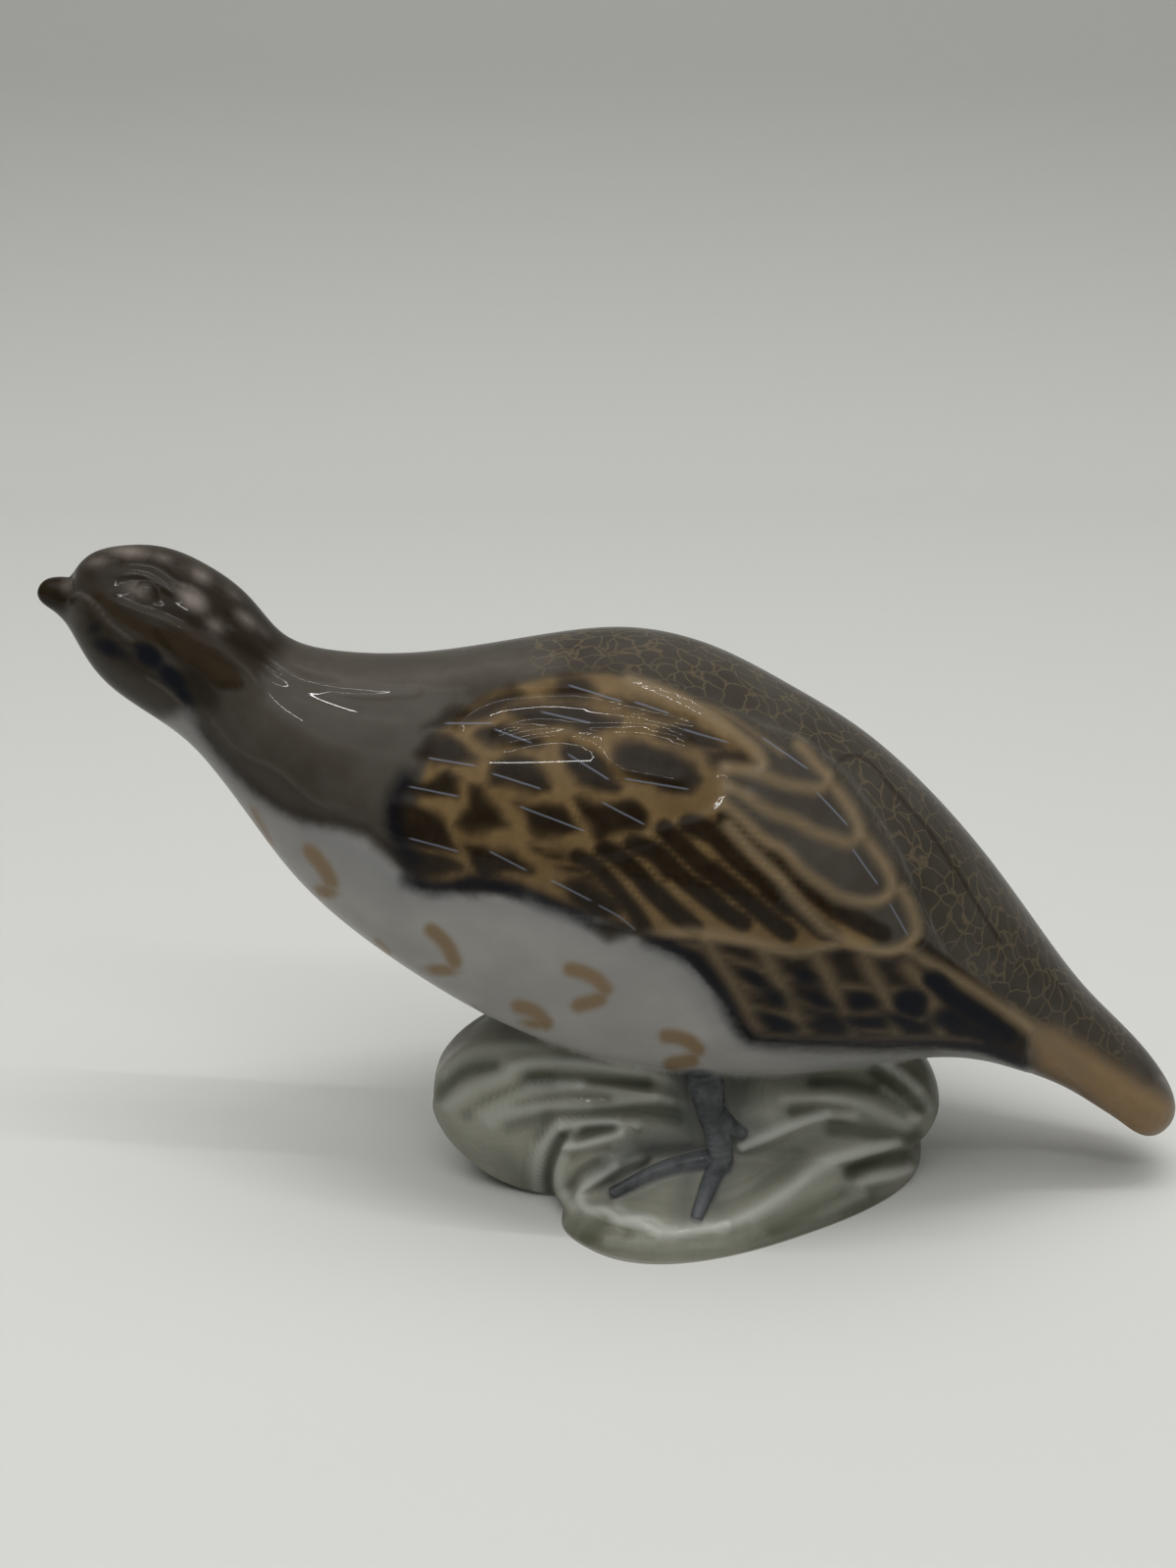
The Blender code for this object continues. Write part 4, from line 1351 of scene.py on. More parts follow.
    streaks: tuple[Line, ...] = (
        ((440, 774), (483, 781)),
        ((420, 803), (465, 812)),
        ((420, 856), (465, 868)),
        ((505, 790), (549, 804)),
        ((502, 870), (535, 887)),
        ((533, 824), (594, 847)),
        ((582, 771), (619, 794)),
        ((583, 700), (632, 715)),
        ((555, 727), (600, 737)),
        ((457, 738), (500, 738)),
        ((507, 745), (540, 757)),
        ((617, 820), (655, 840)),
        ((564, 899), (601, 918)),
        ((613, 925), (632, 935), (646, 947)),
        ((650, 717), (680, 727)),
        ((700, 745), (741, 757)),
        ((640, 795), (700, 805)),
        ((780, 754), (822, 783)),
        ((835, 810), (863, 840)),
        ((871, 868), (894, 900)),
        ((909, 924), (925, 952)),
    )
    # Pixels from a shaft line at which it ends, past its ends, and at which the distance is capped.
    streak_reach: float = 9.0
    streak_end: float = 5.0
    side_limit: float = 20.0
    head: tuple[Any, ...] = tuple(
        shapes(Pigment.DARK, 14.0,
            (0.43, ((60, 545), (160, 545), (250, 600), (300, 655), (262, 690), (200, 650), (120, 615),
                    (86, 600))),
            (0.41, ((84, 602), (120, 640), (180, 700), (190, 712), (150, 700), (110, 680), (80, 640))))
        + blots(
            Pigment.PALE_AND_SHEEN, 8.0, (99, 573, 13, 7, -15, 0.62), (132, 563, 20, 6, 5, 0.85),
            (166, 569, 12, 5, 15, 0.7), (205, 587, 12, 7, 35, 0.8), (196, 611, 19, 11, 35, 0.8),
            (219, 639, 12, 8, 40, 0.66), (252, 632, 14, 7, 40, 0.75), (238, 606, 11, 5, 40, 0.6),
            (140, 604, 19, 9, 32, 0.56), (68, 598, 6, 7, 0, 0.6), (268, 644, 10, 5, 40, 0.55),
            (186, 578, 8, 4, 25, 0.5))
        # Painted sheen: a light wash along the top of the neck, where the glaze catches the light from above.
        + strokes(Pigment.PALE_AND_SHEEN, 34, 26.0, 0.46, ((300, 678), (350, 690), (420, 692), (500, 680), (560, 672)))
        # Painted sheen: light lines down the side of the neck.
        + strokes(Pigment.PALE_AND_SHEEN, 10, 12.0, 0.38,
            ((262, 700), (300, 735), (350, 760), (400, 770)),
            ((300, 712), (350, 728), (410, 735)))
        + strokes(Pigment.PALE_AND_SHEEN, 3, 4.0, 0.6,
            ((81, 604), (97, 614), (107, 629), (117, 639), (132, 650)),
            ((150, 692), (168, 703), (186, 719)))
        # Painted highlights along the ridge under the eye and along the ridge at the neck's lower edge.
        + strokes(Pigment.PALE_AND_SHEEN, 4, 4.5, 0.42,
            ((122, 617), (142, 625), (163, 632), (183, 641), (199, 651), (214, 659), (237, 673),
             (250, 682), (262, 697)),
            ((217, 736), (240, 763), (262, 776), (280, 784), (300, 800), (320, 817), (340, 825)))
        + strokes(Pigment.RUST, 13, 5.0, 0.8, ((99, 610), (125, 625), (152, 641), (176, 654)))
        + blots(
            Pigment.RUST, 5.0, (205, 668, 50, 17, 38), (150, 655, 22, 8, 35, 0.7),
            (141, 681, 9, 5, 40, 0.7))
        + strokes(Pigment.DARK, 9, 9.0, 0.66, (
            (118, 606), (122, 592), (136, 586), (152, 588), (166, 600), (174, 614), (160, 624), (138, 621),
            (123, 614), (118, 606)))
        + blots(
            Pigment.BLUE, 6.0, (110, 661, 13, 7, 25, 0.9), (152, 669, 15, 9, 38), (176, 692, 16, 8, 45),
            (187, 708, 14, 6, 50, 0.9), (96, 642, 6, 7, 40, 0.6), (126, 668, 8, 5, 30, 0.5))
        + blots(
            Pigment.DARK, 8.0, (202, 700, 26, 12, 50, 0.7), (110, 588, 14, 9, 30, 0.55),
            (160, 590, 18, 6, 25, 0.62), (190, 592, 12, 5, 40, 0.5), (232, 626, 14, 7, 45, 0.6),
            (182, 626, 14, 6, 35, 0.5), (175, 600, 9, 6, 35, 0.7), (272, 658, 14, 6, 35, 0.6),
            (220, 602, 12, 5, 40, 0.6))
        + strokes(Pigment.DARK, 6, 7.0, 0.6,
            ((160, 644), (172, 662), (190, 680), (208, 694), (228, 700), (246, 698)),
            ((97, 648), (115, 654), (140, 660)))
        + strokes(Pigment.DARK, 9, 9.0, 0.5, (
            (205, 742), (222, 764), (246, 790), (272, 812), (300, 828), (340, 838), (372, 846),
            (398, 866))))
    breast: tuple[Any, ...] = tuple(
        strokes(Pigment.WASH, 34, 26.0, 0.5, (
            (110, 668), (160, 705), (200, 740), (230, 782), (268, 818), (320, 845), (370, 872),
            (410, 905)))
        + strokes(Pigment.WASH, 12, 16.0, 0.5, (
            (430, 915), (500, 922), (570, 940), (640, 962), (700, 990), (745, 1050), (800, 1075),
            (1000, 1088)))
        + strokes(Pigment.MARK, 15, 5.0, 1.0,
            ((316, 868), (328, 882), (338, 900)),
            ((440, 949), (455, 963), (464, 982)),
            ((582, 989), (604, 996), (618, 1009)),
            ((612, 1020), (590, 1026)),
            ((529, 1027), (545, 1032), (557, 1044)),
            ((680, 1057), (700, 1061), (712, 1071)),
            ((706, 1082), (684, 1086)))
        + strokes(Pigment.MARK, 7, 4.0, 0.8, ((258, 825), (268, 845), (276, 862)), ((385, 960), (396, 973)))
        + blots(Pigment.MARK, 4.0, (332, 910, 13, 7, 5), (450, 990, 17, 6, 5), (545, 1045, 14, 5, 10, 0.9)))
    tail: tuple[Any, ...] = tuple(
        strokes(Pigment.PALE_AND_SHEEN, 3, 3.5, 0.6, ((1080, 1085), (1110, 1115), (1140, 1140)))
        + strokes(Pigment.PALE_AND_SHEEN, 7, 5.0, 0.7, ((1186, 1100), (1199, 1126), (1190, 1150), (1165, 1160))))

    @staticmethod
    def by_hand(places: np.ndarray) -> np.ndarray:
        """Move places a little here and there, so that touches laid on them look drawn by hand.

        Args:
            places: Pixels.

        Returns:
            The pixels that are looked up for them.
        """
        u, v = places[:, 0], places[:, 1]
        return places + np.stack([
            2.6 * np.sin(v / 9.0 + 0.8 * np.sin(u / 14.0)) + 1.6 * np.sin(u / 6.1 + v / 12.3),
            2.2 * np.sin(u / 10.0 + 1.1 * np.sin(v / 13.0)) + 1.6 * np.sin(v / 5.3 - u / 9.7)], axis=1)

    def shading(self, points: np.ndarray, normals: np.ndarray) -> dict[str, np.ndarray]:
        """Lay every pigment on the bird.

        Args:
            points: Points of the mesh, in millimetres.
            normals: Their unit normals.

        Returns:
            For each stored value its name and one number for each point.
        """
        places = self.view.places(points)
        cover = {pigment: np.zeros(len(points)) for pigment in Pigment}
        front = smooth_step((self.wing_front - places[:, 0]) / self.wing_front_run)
        soft = self.wing_soft + (self.breast_soft - self.wing_soft) * front
        inside = depth_inside(places, self.brown_ground)
        cover[Pigment.BROWN] = np.clip(0.5 + inside / (2.0 * soft), 0.0, 1.0)
        lay(cover, self.coverts + self.cells, self.by_hand(places))
        lay(cover, self.patches + self.wing_strokes + self.head + self.breast + self.tail, places)
        away = smooth_step((self.away - self.view.facing(points, normals)) / self.away_run)
        under = away * smooth_step((self.down - normals[:, 2]) / self.down_run)
        found = {pigment.value: value * (1.0 - under) for pigment, value in cover.items()}
        found["streak_side"], found["streak_near"] = self.streak_fields(places)
        return found

    def streak_fields(self, places: np.ndarray) -> tuple[np.ndarray, np.ndarray]:
        """Look for the nearest of the thin shaft lines.

        Args:
            places: Pixels.

        Returns:
            Distance to each side of that line, and how near its ends the place lies along it.
        """
        side = np.full(len(places), self.side_limit)
        near = np.zeros(len(places))
        nearest = np.full(len(places), np.inf)
        pieces = [pair for line in self.streaks for pair in zip(line[:-1], line[1:])]
        for start, end in pieces:
            a = np.array(start, float)
            run = np.array(end, float) - a
            length = float(np.linalg.norm(run))
            run = run / length
            along = (places - a) @ run
            across = (places[:, 0] - a[0]) * run[1] - (places[:, 1] - a[1]) * run[0]
            beyond = np.maximum(np.maximum(-along, along - length), 0.0)
            gap = np.hypot(across, beyond)
            closer = gap < nearest
            nearest = np.where(closer, gap, nearest)
            side = np.where(closer, across, side)
            near = np.where(closer, np.clip(1.0 - beyond / self.streak_end, 0.0, 1.0), near)
        side = np.clip(side, -self.side_limit, self.side_limit)
        return side, np.where(nearest < self.streak_reach, near, 0.0)


@dataclass
class StonePaint:
    """Olive washes between the rock's folds and painted shade on its low front, painted shade on the rock
    about the leg and the toes, and light crests on the folds that are partly painted glints.
    """

    view: PictureView
    rock: Rock
    washes: tuple[Any, ...] = (
        Stroke(Pigment.MOSS_AND_SHADE, 0, (
            (745, 1085), (960, 1080), (966, 1150), (940, 1128), (905, 1128), (860, 1112), (800, 1106),
            (752, 1130)), 0.85, 16, True),
        Stroke(Pigment.MOSS_AND_SHADE, 18, ((850, 1146), (880, 1150), (910, 1158), (940, 1160)), 0.7, 12),
        Stroke(Pigment.MOSS_AND_SHADE, 22, ((868, 1192), (895, 1184), (930, 1182)), 0.75, 12),
        Stroke(Pigment.MOSS_AND_SHADE, 46, ((770, 1190), (810, 1172), (850, 1158)), 0.5, 22),
        Stroke(Pigment.MOSS_AND_SHADE, 20, ((444, 1122), (460, 1102), (485, 1088)), 0.55, 14),
        Stroke(Pigment.MOSS_AND_SHADE, 16, ((545, 1100), (600, 1102), (660, 1106)), 0.7, 12),
        Stroke(Pigment.MOSS_AND_SHADE, 22, ((600, 1134), (650, 1134), (700, 1140)), 0.7, 14),
        Stroke(Pigment.MOSS_AND_SHADE, 13, ((574, 1160), (563, 1180), (558, 1202), (561, 1222)), 0.6, 8),
        Stroke(Pigment.MOSS_AND_SHADE, 16, ((520, 1186), (540, 1200), (552, 1216)), 0.6, 14),
        Stroke(Pigment.MOSS_AND_SHADE, 12, ((588, 1158), (606, 1154), (624, 1152)), 0.75, 9),
        # Painted shade: the low front of the rock, which gets little light, darkened with the olive wash.
        Stroke(Pigment.MOSS_AND_SHADE, 30, (
            (590, 1262), (650, 1270), (720, 1270), (790, 1258), (850, 1238), (890, 1222)), 0.95, 14),
        # Painted shade and painted shadow on the rock about the leg and the toes, where they shade it.
        Stroke(Pigment.HALO, 30, ((700, 1095), (702, 1130), (708, 1165)), 0.95, 18),
        Stroke(Pigment.HALO, 26, ((750, 1098), (752, 1130), (756, 1160)), 0.75, 18),
        Stroke(Pigment.HALO, 22, ((740, 1172), (734, 1195), (728, 1225)), 0.6, 14),
        Stroke(Pigment.HALO, 16, ((706, 1188), (700, 1215), (700, 1240)), 0.6, 14),
        Stroke(Pigment.HALO, 26, ((704, 1168), (672, 1170), (645, 1178), (622, 1196)), 0.95, 13),
        Stroke(Pigment.HALO, 14, ((700, 1192), (670, 1200), (640, 1212)), 0.5, 12),
        Stroke(Pigment.HALO, 18, ((740, 1125), (755, 1145), (770, 1148)), 0.7, 12),
        # Light crest lines on the folds, where the glaze thins, drawn along the lamps' glints as painted
        # highlights.
        Stroke(Pigment.CREST_AND_GLINT, 4, ((524, 1088), (545, 1083), (575, 1082), (610, 1085), (650, 1091)), 0.45, 6),
        Stroke(Pigment.CREST_AND_GLINT, 4, ((540, 1108), (565, 1105), (592, 1107)), 0.6, 5),
        Stroke(Pigment.CREST_AND_GLINT, 4, ((500, 1146), (530, 1134), (560, 1129), (600, 1129)), 0.35, 6),
        Stroke(Pigment.CREST_AND_GLINT, 6, ((572, 1150), (557, 1168), (550, 1190), (549, 1212), (556, 1234)), 0.7, 6),
        Stroke(Pigment.CREST_AND_GLINT, 3, ((572, 1147), (600, 1145), (630, 1145)), 0.75, 5),
        Stroke(Pigment.CREST_AND_GLINT, 3, ((578, 1170), (596, 1168), (612, 1163), (634, 1156)), 0.85, 5),
        Stroke(Pigment.CREST_AND_GLINT, 3, (
            (628, 1190), (612, 1201), (597, 1212), (592, 1222), (600, 1234), (618, 1236), (632, 1246),
            (652, 1248), (672, 1258)), 0.85, 5),
        Stroke(Pigment.CREST_AND_GLINT, 3, ((630, 1232), (644, 1241), (664, 1243), (676, 1252), (690, 1254)), 0.9, 5),
        Stroke(Pigment.CREST_AND_GLINT, 5, (
            (690, 1256), (720, 1252), (750, 1246), (770, 1236), (790, 1224), (815, 1206), (835, 1188),
            (855, 1181)), 0.55, 6),
        Stroke(Pigment.CREST_AND_GLINT, 3, ((757, 1170), (776, 1162), (795, 1154), (820, 1144), (845, 1136)), 0.85, 5),
        Stroke(Pigment.CREST_AND_GLINT, 4, ((855, 1181), (885, 1174), (915, 1167)), 0.5, 6),
        Stroke(Pigment.CREST_AND_GLINT, 4, ((840, 1119), (870, 1126), (900, 1139), (925, 1152)), 0.35, 6),
        Stroke(Pigment.CREST_AND_GLINT, 4, ((900, 1084), (922, 1098), (940, 1116), (949, 1132)), 0.45, 6),
        Stroke(Pigment.CREST_AND_GLINT, 4, ((890, 1203), (915, 1199), (934, 1194)), 0.5, 6),
    )

    def shading(self, points: np.ndarray) -> dict[str, np.ndarray]:
        """Lay olive washes, painted shade, and crests that are partly painted glints, and measure the folds.

        Args:
            points: Points of the mesh, in millimetres.

        Returns:
            For each stored value its name and one number for each point: the pigments, how far the
            folds stand out there, and the distance to the nearest fold.
        """
        places = self.view.places(points)
        cover = {pigment: np.zeros(len(points)) for pigment in (Pigment.MOSS_AND_SHADE, Pigment.HALO, Pigment.CREST_AND_GLINT)}
        lay(cover, self.washes, places)
        found = {pigment.value: value for pigment, value in cover.items()}
        found["fold"] = self.rock.fold_height(points)
        flow = np.full(len(points), np.inf)
        for fold in self.rock.folds:
            flow = np.minimum(flow, distance_to_line(places, rounded(fold.line)) / PIXELS_PER_MM)
        found["flow"] = flow
        return found


@dataclass(frozen=True)
class Brush:
    """How a pigment goes on: the lean of its thin edge, how soft the edge is, and how fully it covers.

    A lean over 1 spreads the thin edge, and one under 1 draws it in.
    """

    lean: float = 1.0
    softness: float = 0.46
    cover: float = 1.0


BRUSHES: dict[Pigment, Brush] = {
    Pigment.MARK: Brush(),
    Pigment.BROWN: Brush(1.7, 0.5),
    Pigment.TAIL: Brush(0.7),
    Pigment.RUST: Brush(cover=0.95),
    Pigment.OCHRE: Brush(0.6),
    Pigment.DARK: Brush(3.4),
    Pigment.FRINGE: Brush(0.9, 0.72),
    Pigment.BLUE: Brush(2.0),
    Pigment.PALE_AND_SHEEN: Brush(0.7, cover=0.85),
}


@dataclass(frozen=True)
class Grain:
    """The noises that the painting is mottled with, from slow to fine."""

    cloud: Wire
    brush: Wire
    grain: Wire

    def cloudy(self, brush_share: float) -> Wire:
        """The slow noise roughened by a share of the brush's."""
        return self.cloud + (self.brush - 0.5) * brush_share


@dataclass(frozen=True)
class Glaze:
    """Underglaze painting on porcelain under a clear gloss glaze, and the bare rim of the foot."""

    porcelain: Colour = (0.345, 0.338, 0.318)
    porcelain_shade: Colour = (0.285, 0.281, 0.268)
    wash: Colour = (0.10, 0.11, 0.135)
    brown: Colour = (0.058, 0.0525, 0.0455)
    brown_deep: Colour = (0.033, 0.029, 0.024)
    back_line: Colour = (0.130, 0.102, 0.062)
    rust: Colour = (0.024, 0.016, 0.009)
    ochre: Colour = (0.158, 0.103, 0.046)
    ochre_deep: Colour = (0.100, 0.064, 0.026)
    dark: Colour = (0.0060, 0.0035, 0.0020)
    dark_soft: Colour = (0.0095, 0.0062, 0.0036)
    fringe: Colour = (0.200, 0.148, 0.086)
    blue: Colour = (0.0025, 0.0035, 0.0075)
    # Light paint, also the colour of the painted sheen and painted highlights on the neck and head.
    pale: Colour = (0.245, 0.212, 0.185)
    mark: Colour = (0.215, 0.153, 0.090)
    tail: Colour = (0.27, 0.180, 0.092)
    tail_deep: Colour = (0.2106, 0.1404, 0.07176)
    streak: Colour = (0.20, 0.225, 0.28)
    stone: Colour = (0.29, 0.292, 0.240)
    stone_pale: Colour = (0.42, 0.425, 0.375)
    stone_deep: Colour = (0.122, 0.123, 0.094)
    # Olive wash, also the colour of the painted shade on the rock's low front.
    moss: Colour = (0.080, 0.084, 0.056)
    # Colour of the painted shade on the rock about the leg and the toes.
    halo: Colour = (0.050, 0.058, 0.062)
    # Colour of the light crests, partly glaze thinning and partly painted glints.
    crest: Colour = (0.56, 0.57, 0.54)
    leg: Colour = (0.118, 0.126, 0.132)
    leg_deep: Colour = (0.0531, 0.0567, 0.0594)
    bare: Colour = (0.55, 0.53, 0.49)
    # Scales of the noises, in waves to a metre.
    cloud_scale: float = 70.0
    brush_scale: float = 420.0
    grain_scale: float = 1500.0
    # The clear glaze, and the painted body under it.
    coat: float = 0.46
    coat_roughness: float = 0.025
    coat_ior: float = 1.30
    body_roughness: float = 0.20
    brush_roughness: float = 0.12
    bare_roughness: float = 0.35
    # The glaze's slow waves and fine ripples.
    wave_scale: float = 38.0
    ripple_scale: float = 210.0
    ripple_share: float = 0.10
    wave_strength: float = 0.35
    wave_height: float = 0.9
    # How uneven a stroke's edge is, and how fully the washes and thin lines cover.
    uneven_brush: float = 0.16
    uneven_grain: float = 0.05
    wash_cover: float = 0.85
    streak_cover: float = 0.46
    streak_half_width: float = 0.9
    streak_softness: float = 0.7
    # The barring of the back.
    bar_scale: float = 260.0
    bar_drift_scale: float = 160.0
    bar_drift: float = 6.0
    bar_width: float = 0.04
    bar_softness: float = 0.035
    bar_cover: float = 0.55
    # The tone of the stone, from its brush marks, clouds, folds and grain.
    tone_streak: float = 0.30
    tone_cloud: float = 0.7
    tone_fold: float = 0.46
    tone_grain: float = 0.10
    tone_level: float = 0.31
    deep_edge: tuple[float, float] = (0.26, 0.44)
    pale_edge: tuple[float, float] = (0.92, 0.50)
    pale_cover: float = 0.9
    moss_and_shade_cover: float = 0.95
    moss_and_shade_limit: float = 1.25
    painted_leg_shade_cover: float = 0.8
    crest_and_glint_cover: float = 0.8
    # The stone's brush marks, by the distance to the nearest fold and along the figure.
    mark_gap: float = 0.9
    mark_waver: float = 1.6
    mark_length: float = 60.0

    def build(self) -> bpy.types.Material:
        """Make the material."""
        material = bpy.data.materials.new("painted_glaze")
        material.use_nodes = True
        graph = Graph(material.node_tree)
        grain = Grain(graph.noise(self.cloud_scale), graph.noise(self.brush_scale),
                      graph.noise(self.grain_scale, 2.0))
        foot = graph.attribute("foot")
        leg = self.mottled(graph, grain.cloudy(0.6), 0.2, self.leg_deep, self.leg)
        colour = self.plumage(graph, grain)
        colour = graph.blend(graph.attribute("rock"), colour, self.stone_colour(graph, grain))
        colour = graph.blend(graph.attribute("leg"), colour, leg)
        colour = graph.blend(foot, colour, self.bare)
        height = graph.noise(self.wave_scale, 2.0) + graph.noise(self.ripple_scale, 2.0) * self.ripple_share
        bump = graph.wire("ShaderNodeBump", None, {
            "Strength": self.wave_strength, "Distance": self.wave_height * MM, "Height": height})
        shader = material.node_tree.nodes["Principled BSDF"]
        for name, value in {
            "Base Color": colour,
            "Roughness": (grain.brush * self.brush_roughness + foot * self.bare_roughness
                          + self.body_roughness),
            "Coat Weight": (1.0 - foot) * self.coat,
            "Coat Roughness": self.coat_roughness,
            "Coat IOR": self.coat_ior,
            "Specular IOR Level": 0.0,
            "Normal": bump,
        }.items():
            graph.feed(shader.inputs[name], value)
        return material

    @staticmethod
    def mottled(graph: Graph, pattern: Wire, softness: float, under: Colour, over: Colour) -> Wire:
        """One colour passing into another where a noise is high."""
        return graph.blend(graph.edge(pattern, 0.5, softness), under, over)

    def laid(self, graph: Graph, grain: Grain, pigment: Pigment) -> Wire:
        """Work out how fully a pigment covers, with the uneven edge of a brush stroke.

        Args:
            graph: The material's nodes.
            grain: The noises.
            pigment: The pigment, with its brush in BRUSHES.

        Returns:
            Its share.
        """
        brush = BRUSHES[pigment]
        uneven = (grain.brush - 0.5) * self.uneven_brush + (grain.grain - 0.5) * self.uneven_grain
        share = graph.edge(graph.attribute(pigment.value) + uneven, 0.5, brush.softness)
        if brush.lean > 1.0:
            share = 1.0 - graph.maths("POWER", 1.0 - share, brush.lean)
        else:
            share = graph.maths("POWER", share, 1.0 / brush.lean)
        return share * brush.cover

    def plumage(self, graph: Graph, grain: Grain) -> Wire:
        """Mix the pigments of the bird.

        Args:
            graph: The material's nodes.
            grain: The noises.

        Returns:
            The colour, with each pigment laid over those before it.
        """
        ground = self.mottled(graph, grain.cloud, 0.25, self.porcelain, self.porcelain_shade)
        ground = graph.blend(graph.attribute(Pigment.WASH.value) * self.wash_cover, ground, self.wash)
        ground = graph.blend(self.laid(graph, grain, Pigment.MARK), ground, self.mark)
        brown = self.mottled(graph, grain.cloudy(0.3), 0.3, self.brown, self.brown_deep)
        colour = graph.blend(self.laid(graph, grain, Pigment.BROWN), ground, brown)
        bars = self.back_bars(graph) * graph.attribute(Pigment.BACK.value)
        colour = graph.blend(bars, colour, self.back_line)
        for pigment, paint in (
            (Pigment.TAIL, self.mottled(graph, grain.brush, 0.6, self.tail, self.tail_deep)),
            (Pigment.RUST, self.rust),
            (Pigment.OCHRE, self.mottled(graph, grain.cloudy(0.6), 0.3, self.ochre, self.ochre_deep)),
            (Pigment.DARK, self.mottled(graph, grain.brush, 0.35, self.dark, self.dark_soft)),
            (Pigment.FRINGE, self.fringe),
            (Pigment.BLUE, self.blue),
            # Light paint, with the painted sheen and painted highlights.
            (Pigment.PALE_AND_SHEEN, self.pale),
        ):
            colour = graph.blend(self.laid(graph, grain, pigment), colour, paint)
        side = graph.maths("ABSOLUTE", graph.attribute("streak_side") + (grain.brush - 0.5) * 0.8)
        line = 1.0 - graph.edge(side, self.streak_half_width, self.streak_softness)
        thin = line * graph.edge(graph.attribute("streak_near"), 0.55, 0.45)
        return graph.blend(thin * self.streak_cover, colour, self.streak)

    def back_bars(self, graph: Graph) -> Wire:
        """Fine wavy cross lines over the back, like the barring of a partridge's feathers.

        Args:
            graph: The material's nodes.

        Returns:
            How fully they cover.
        """
        drift = graph.wire("ShaderNodeTexNoise", None, {
            "Vector": graph.coordinates(), "Scale": self.bar_drift_scale, "Detail": 2.0}, "Color")
        moved = graph.wire("ShaderNodeVectorMath", {"operation": "MULTIPLY_ADD"}, {
            0: drift, 1: (self.bar_drift * MM,) * 3, 2: graph.coordinates()})
        gap = graph.wire("ShaderNodeTexVoronoi", {"feature": "DISTANCE_TO_EDGE"}, {
            "Vector": moved, "Scale": self.bar_scale}, "Distance")
        return (1.0 - graph.edge(gap, self.bar_width, self.bar_softness)) * self.bar_cover

    def stone_colour(self, graph: Graph, grain: Grain) -> Wire:
        """Mix grey-green washes that thin over the folds and pool between them, brushed along the folds, then
        lay on the olive wash with its painted shade, the painted shade about the leg and toes, and the light
        crests with their painted glints.

        Args:
            graph: The material's nodes.
            grain: The noises.

        Returns:
            The colour.
        """
        along = graph.wire("ShaderNodeSeparateXYZ", None, {"Vector": graph.coordinates()}, "X")
        mark = graph.wire("ShaderNodeCombineXYZ", None, {
            "X": graph.attribute("flow") * self.mark_gap + grain.brush * self.mark_waver,
            "Y": along * self.mark_length})
        tone = (graph.noise(1.0, 2.0, mark) * self.tone_streak + (grain.cloud - 0.5) * self.tone_cloud
                + graph.attribute("fold") * self.tone_fold + (grain.grain - 0.5) * self.tone_grain
                + self.tone_level)
        colour = graph.blend(graph.edge(tone, *self.deep_edge), self.stone_deep, self.stone)
        colour = graph.blend(graph.edge(tone, *self.pale_edge) * self.pale_cover, colour, self.stone_pale)
        # Olive wash, stronger where the stone is darker, with the painted shade on the rock's low front.
        moss = graph.attribute(Pigment.MOSS_AND_SHADE.value) * (self.moss_and_shade_limit - tone) * self.moss_and_shade_cover
        colour = graph.blend(moss, colour, self.moss)
        # Painted shade about the leg and the toes.
        colour = graph.blend(graph.attribute(Pigment.HALO.value) * self.painted_leg_shade_cover, colour, self.halo)
        # Light crests on the folds, partly painted glints.
        return graph.blend(graph.attribute(Pigment.CREST_AND_GLINT.value) * self.crest_and_glint_cover, colour, self.crest)


@dataclass(frozen=True)
class Lamp:
    """A rectangular lamp that shines from a place to an aim, in metres and watts."""

    name: str
    place: Place
    aim: Place
    size: tuple[float, float]
    power: float

    def hang(self) -> None:
        """Put the lamp in the scene."""
        data = bpy.data.lights.new(self.name, "AREA")
        data.shape = "RECTANGLE"
        data.size, data.size_y = self.size
        data.energy = self.power
        lamp = link_object(self.name, data)
        lamp.location = self.place
        lamp.rotation_euler = (Vector(self.aim) - Vector(self.place)).to_track_quat("-Z", "Y").to_euler()


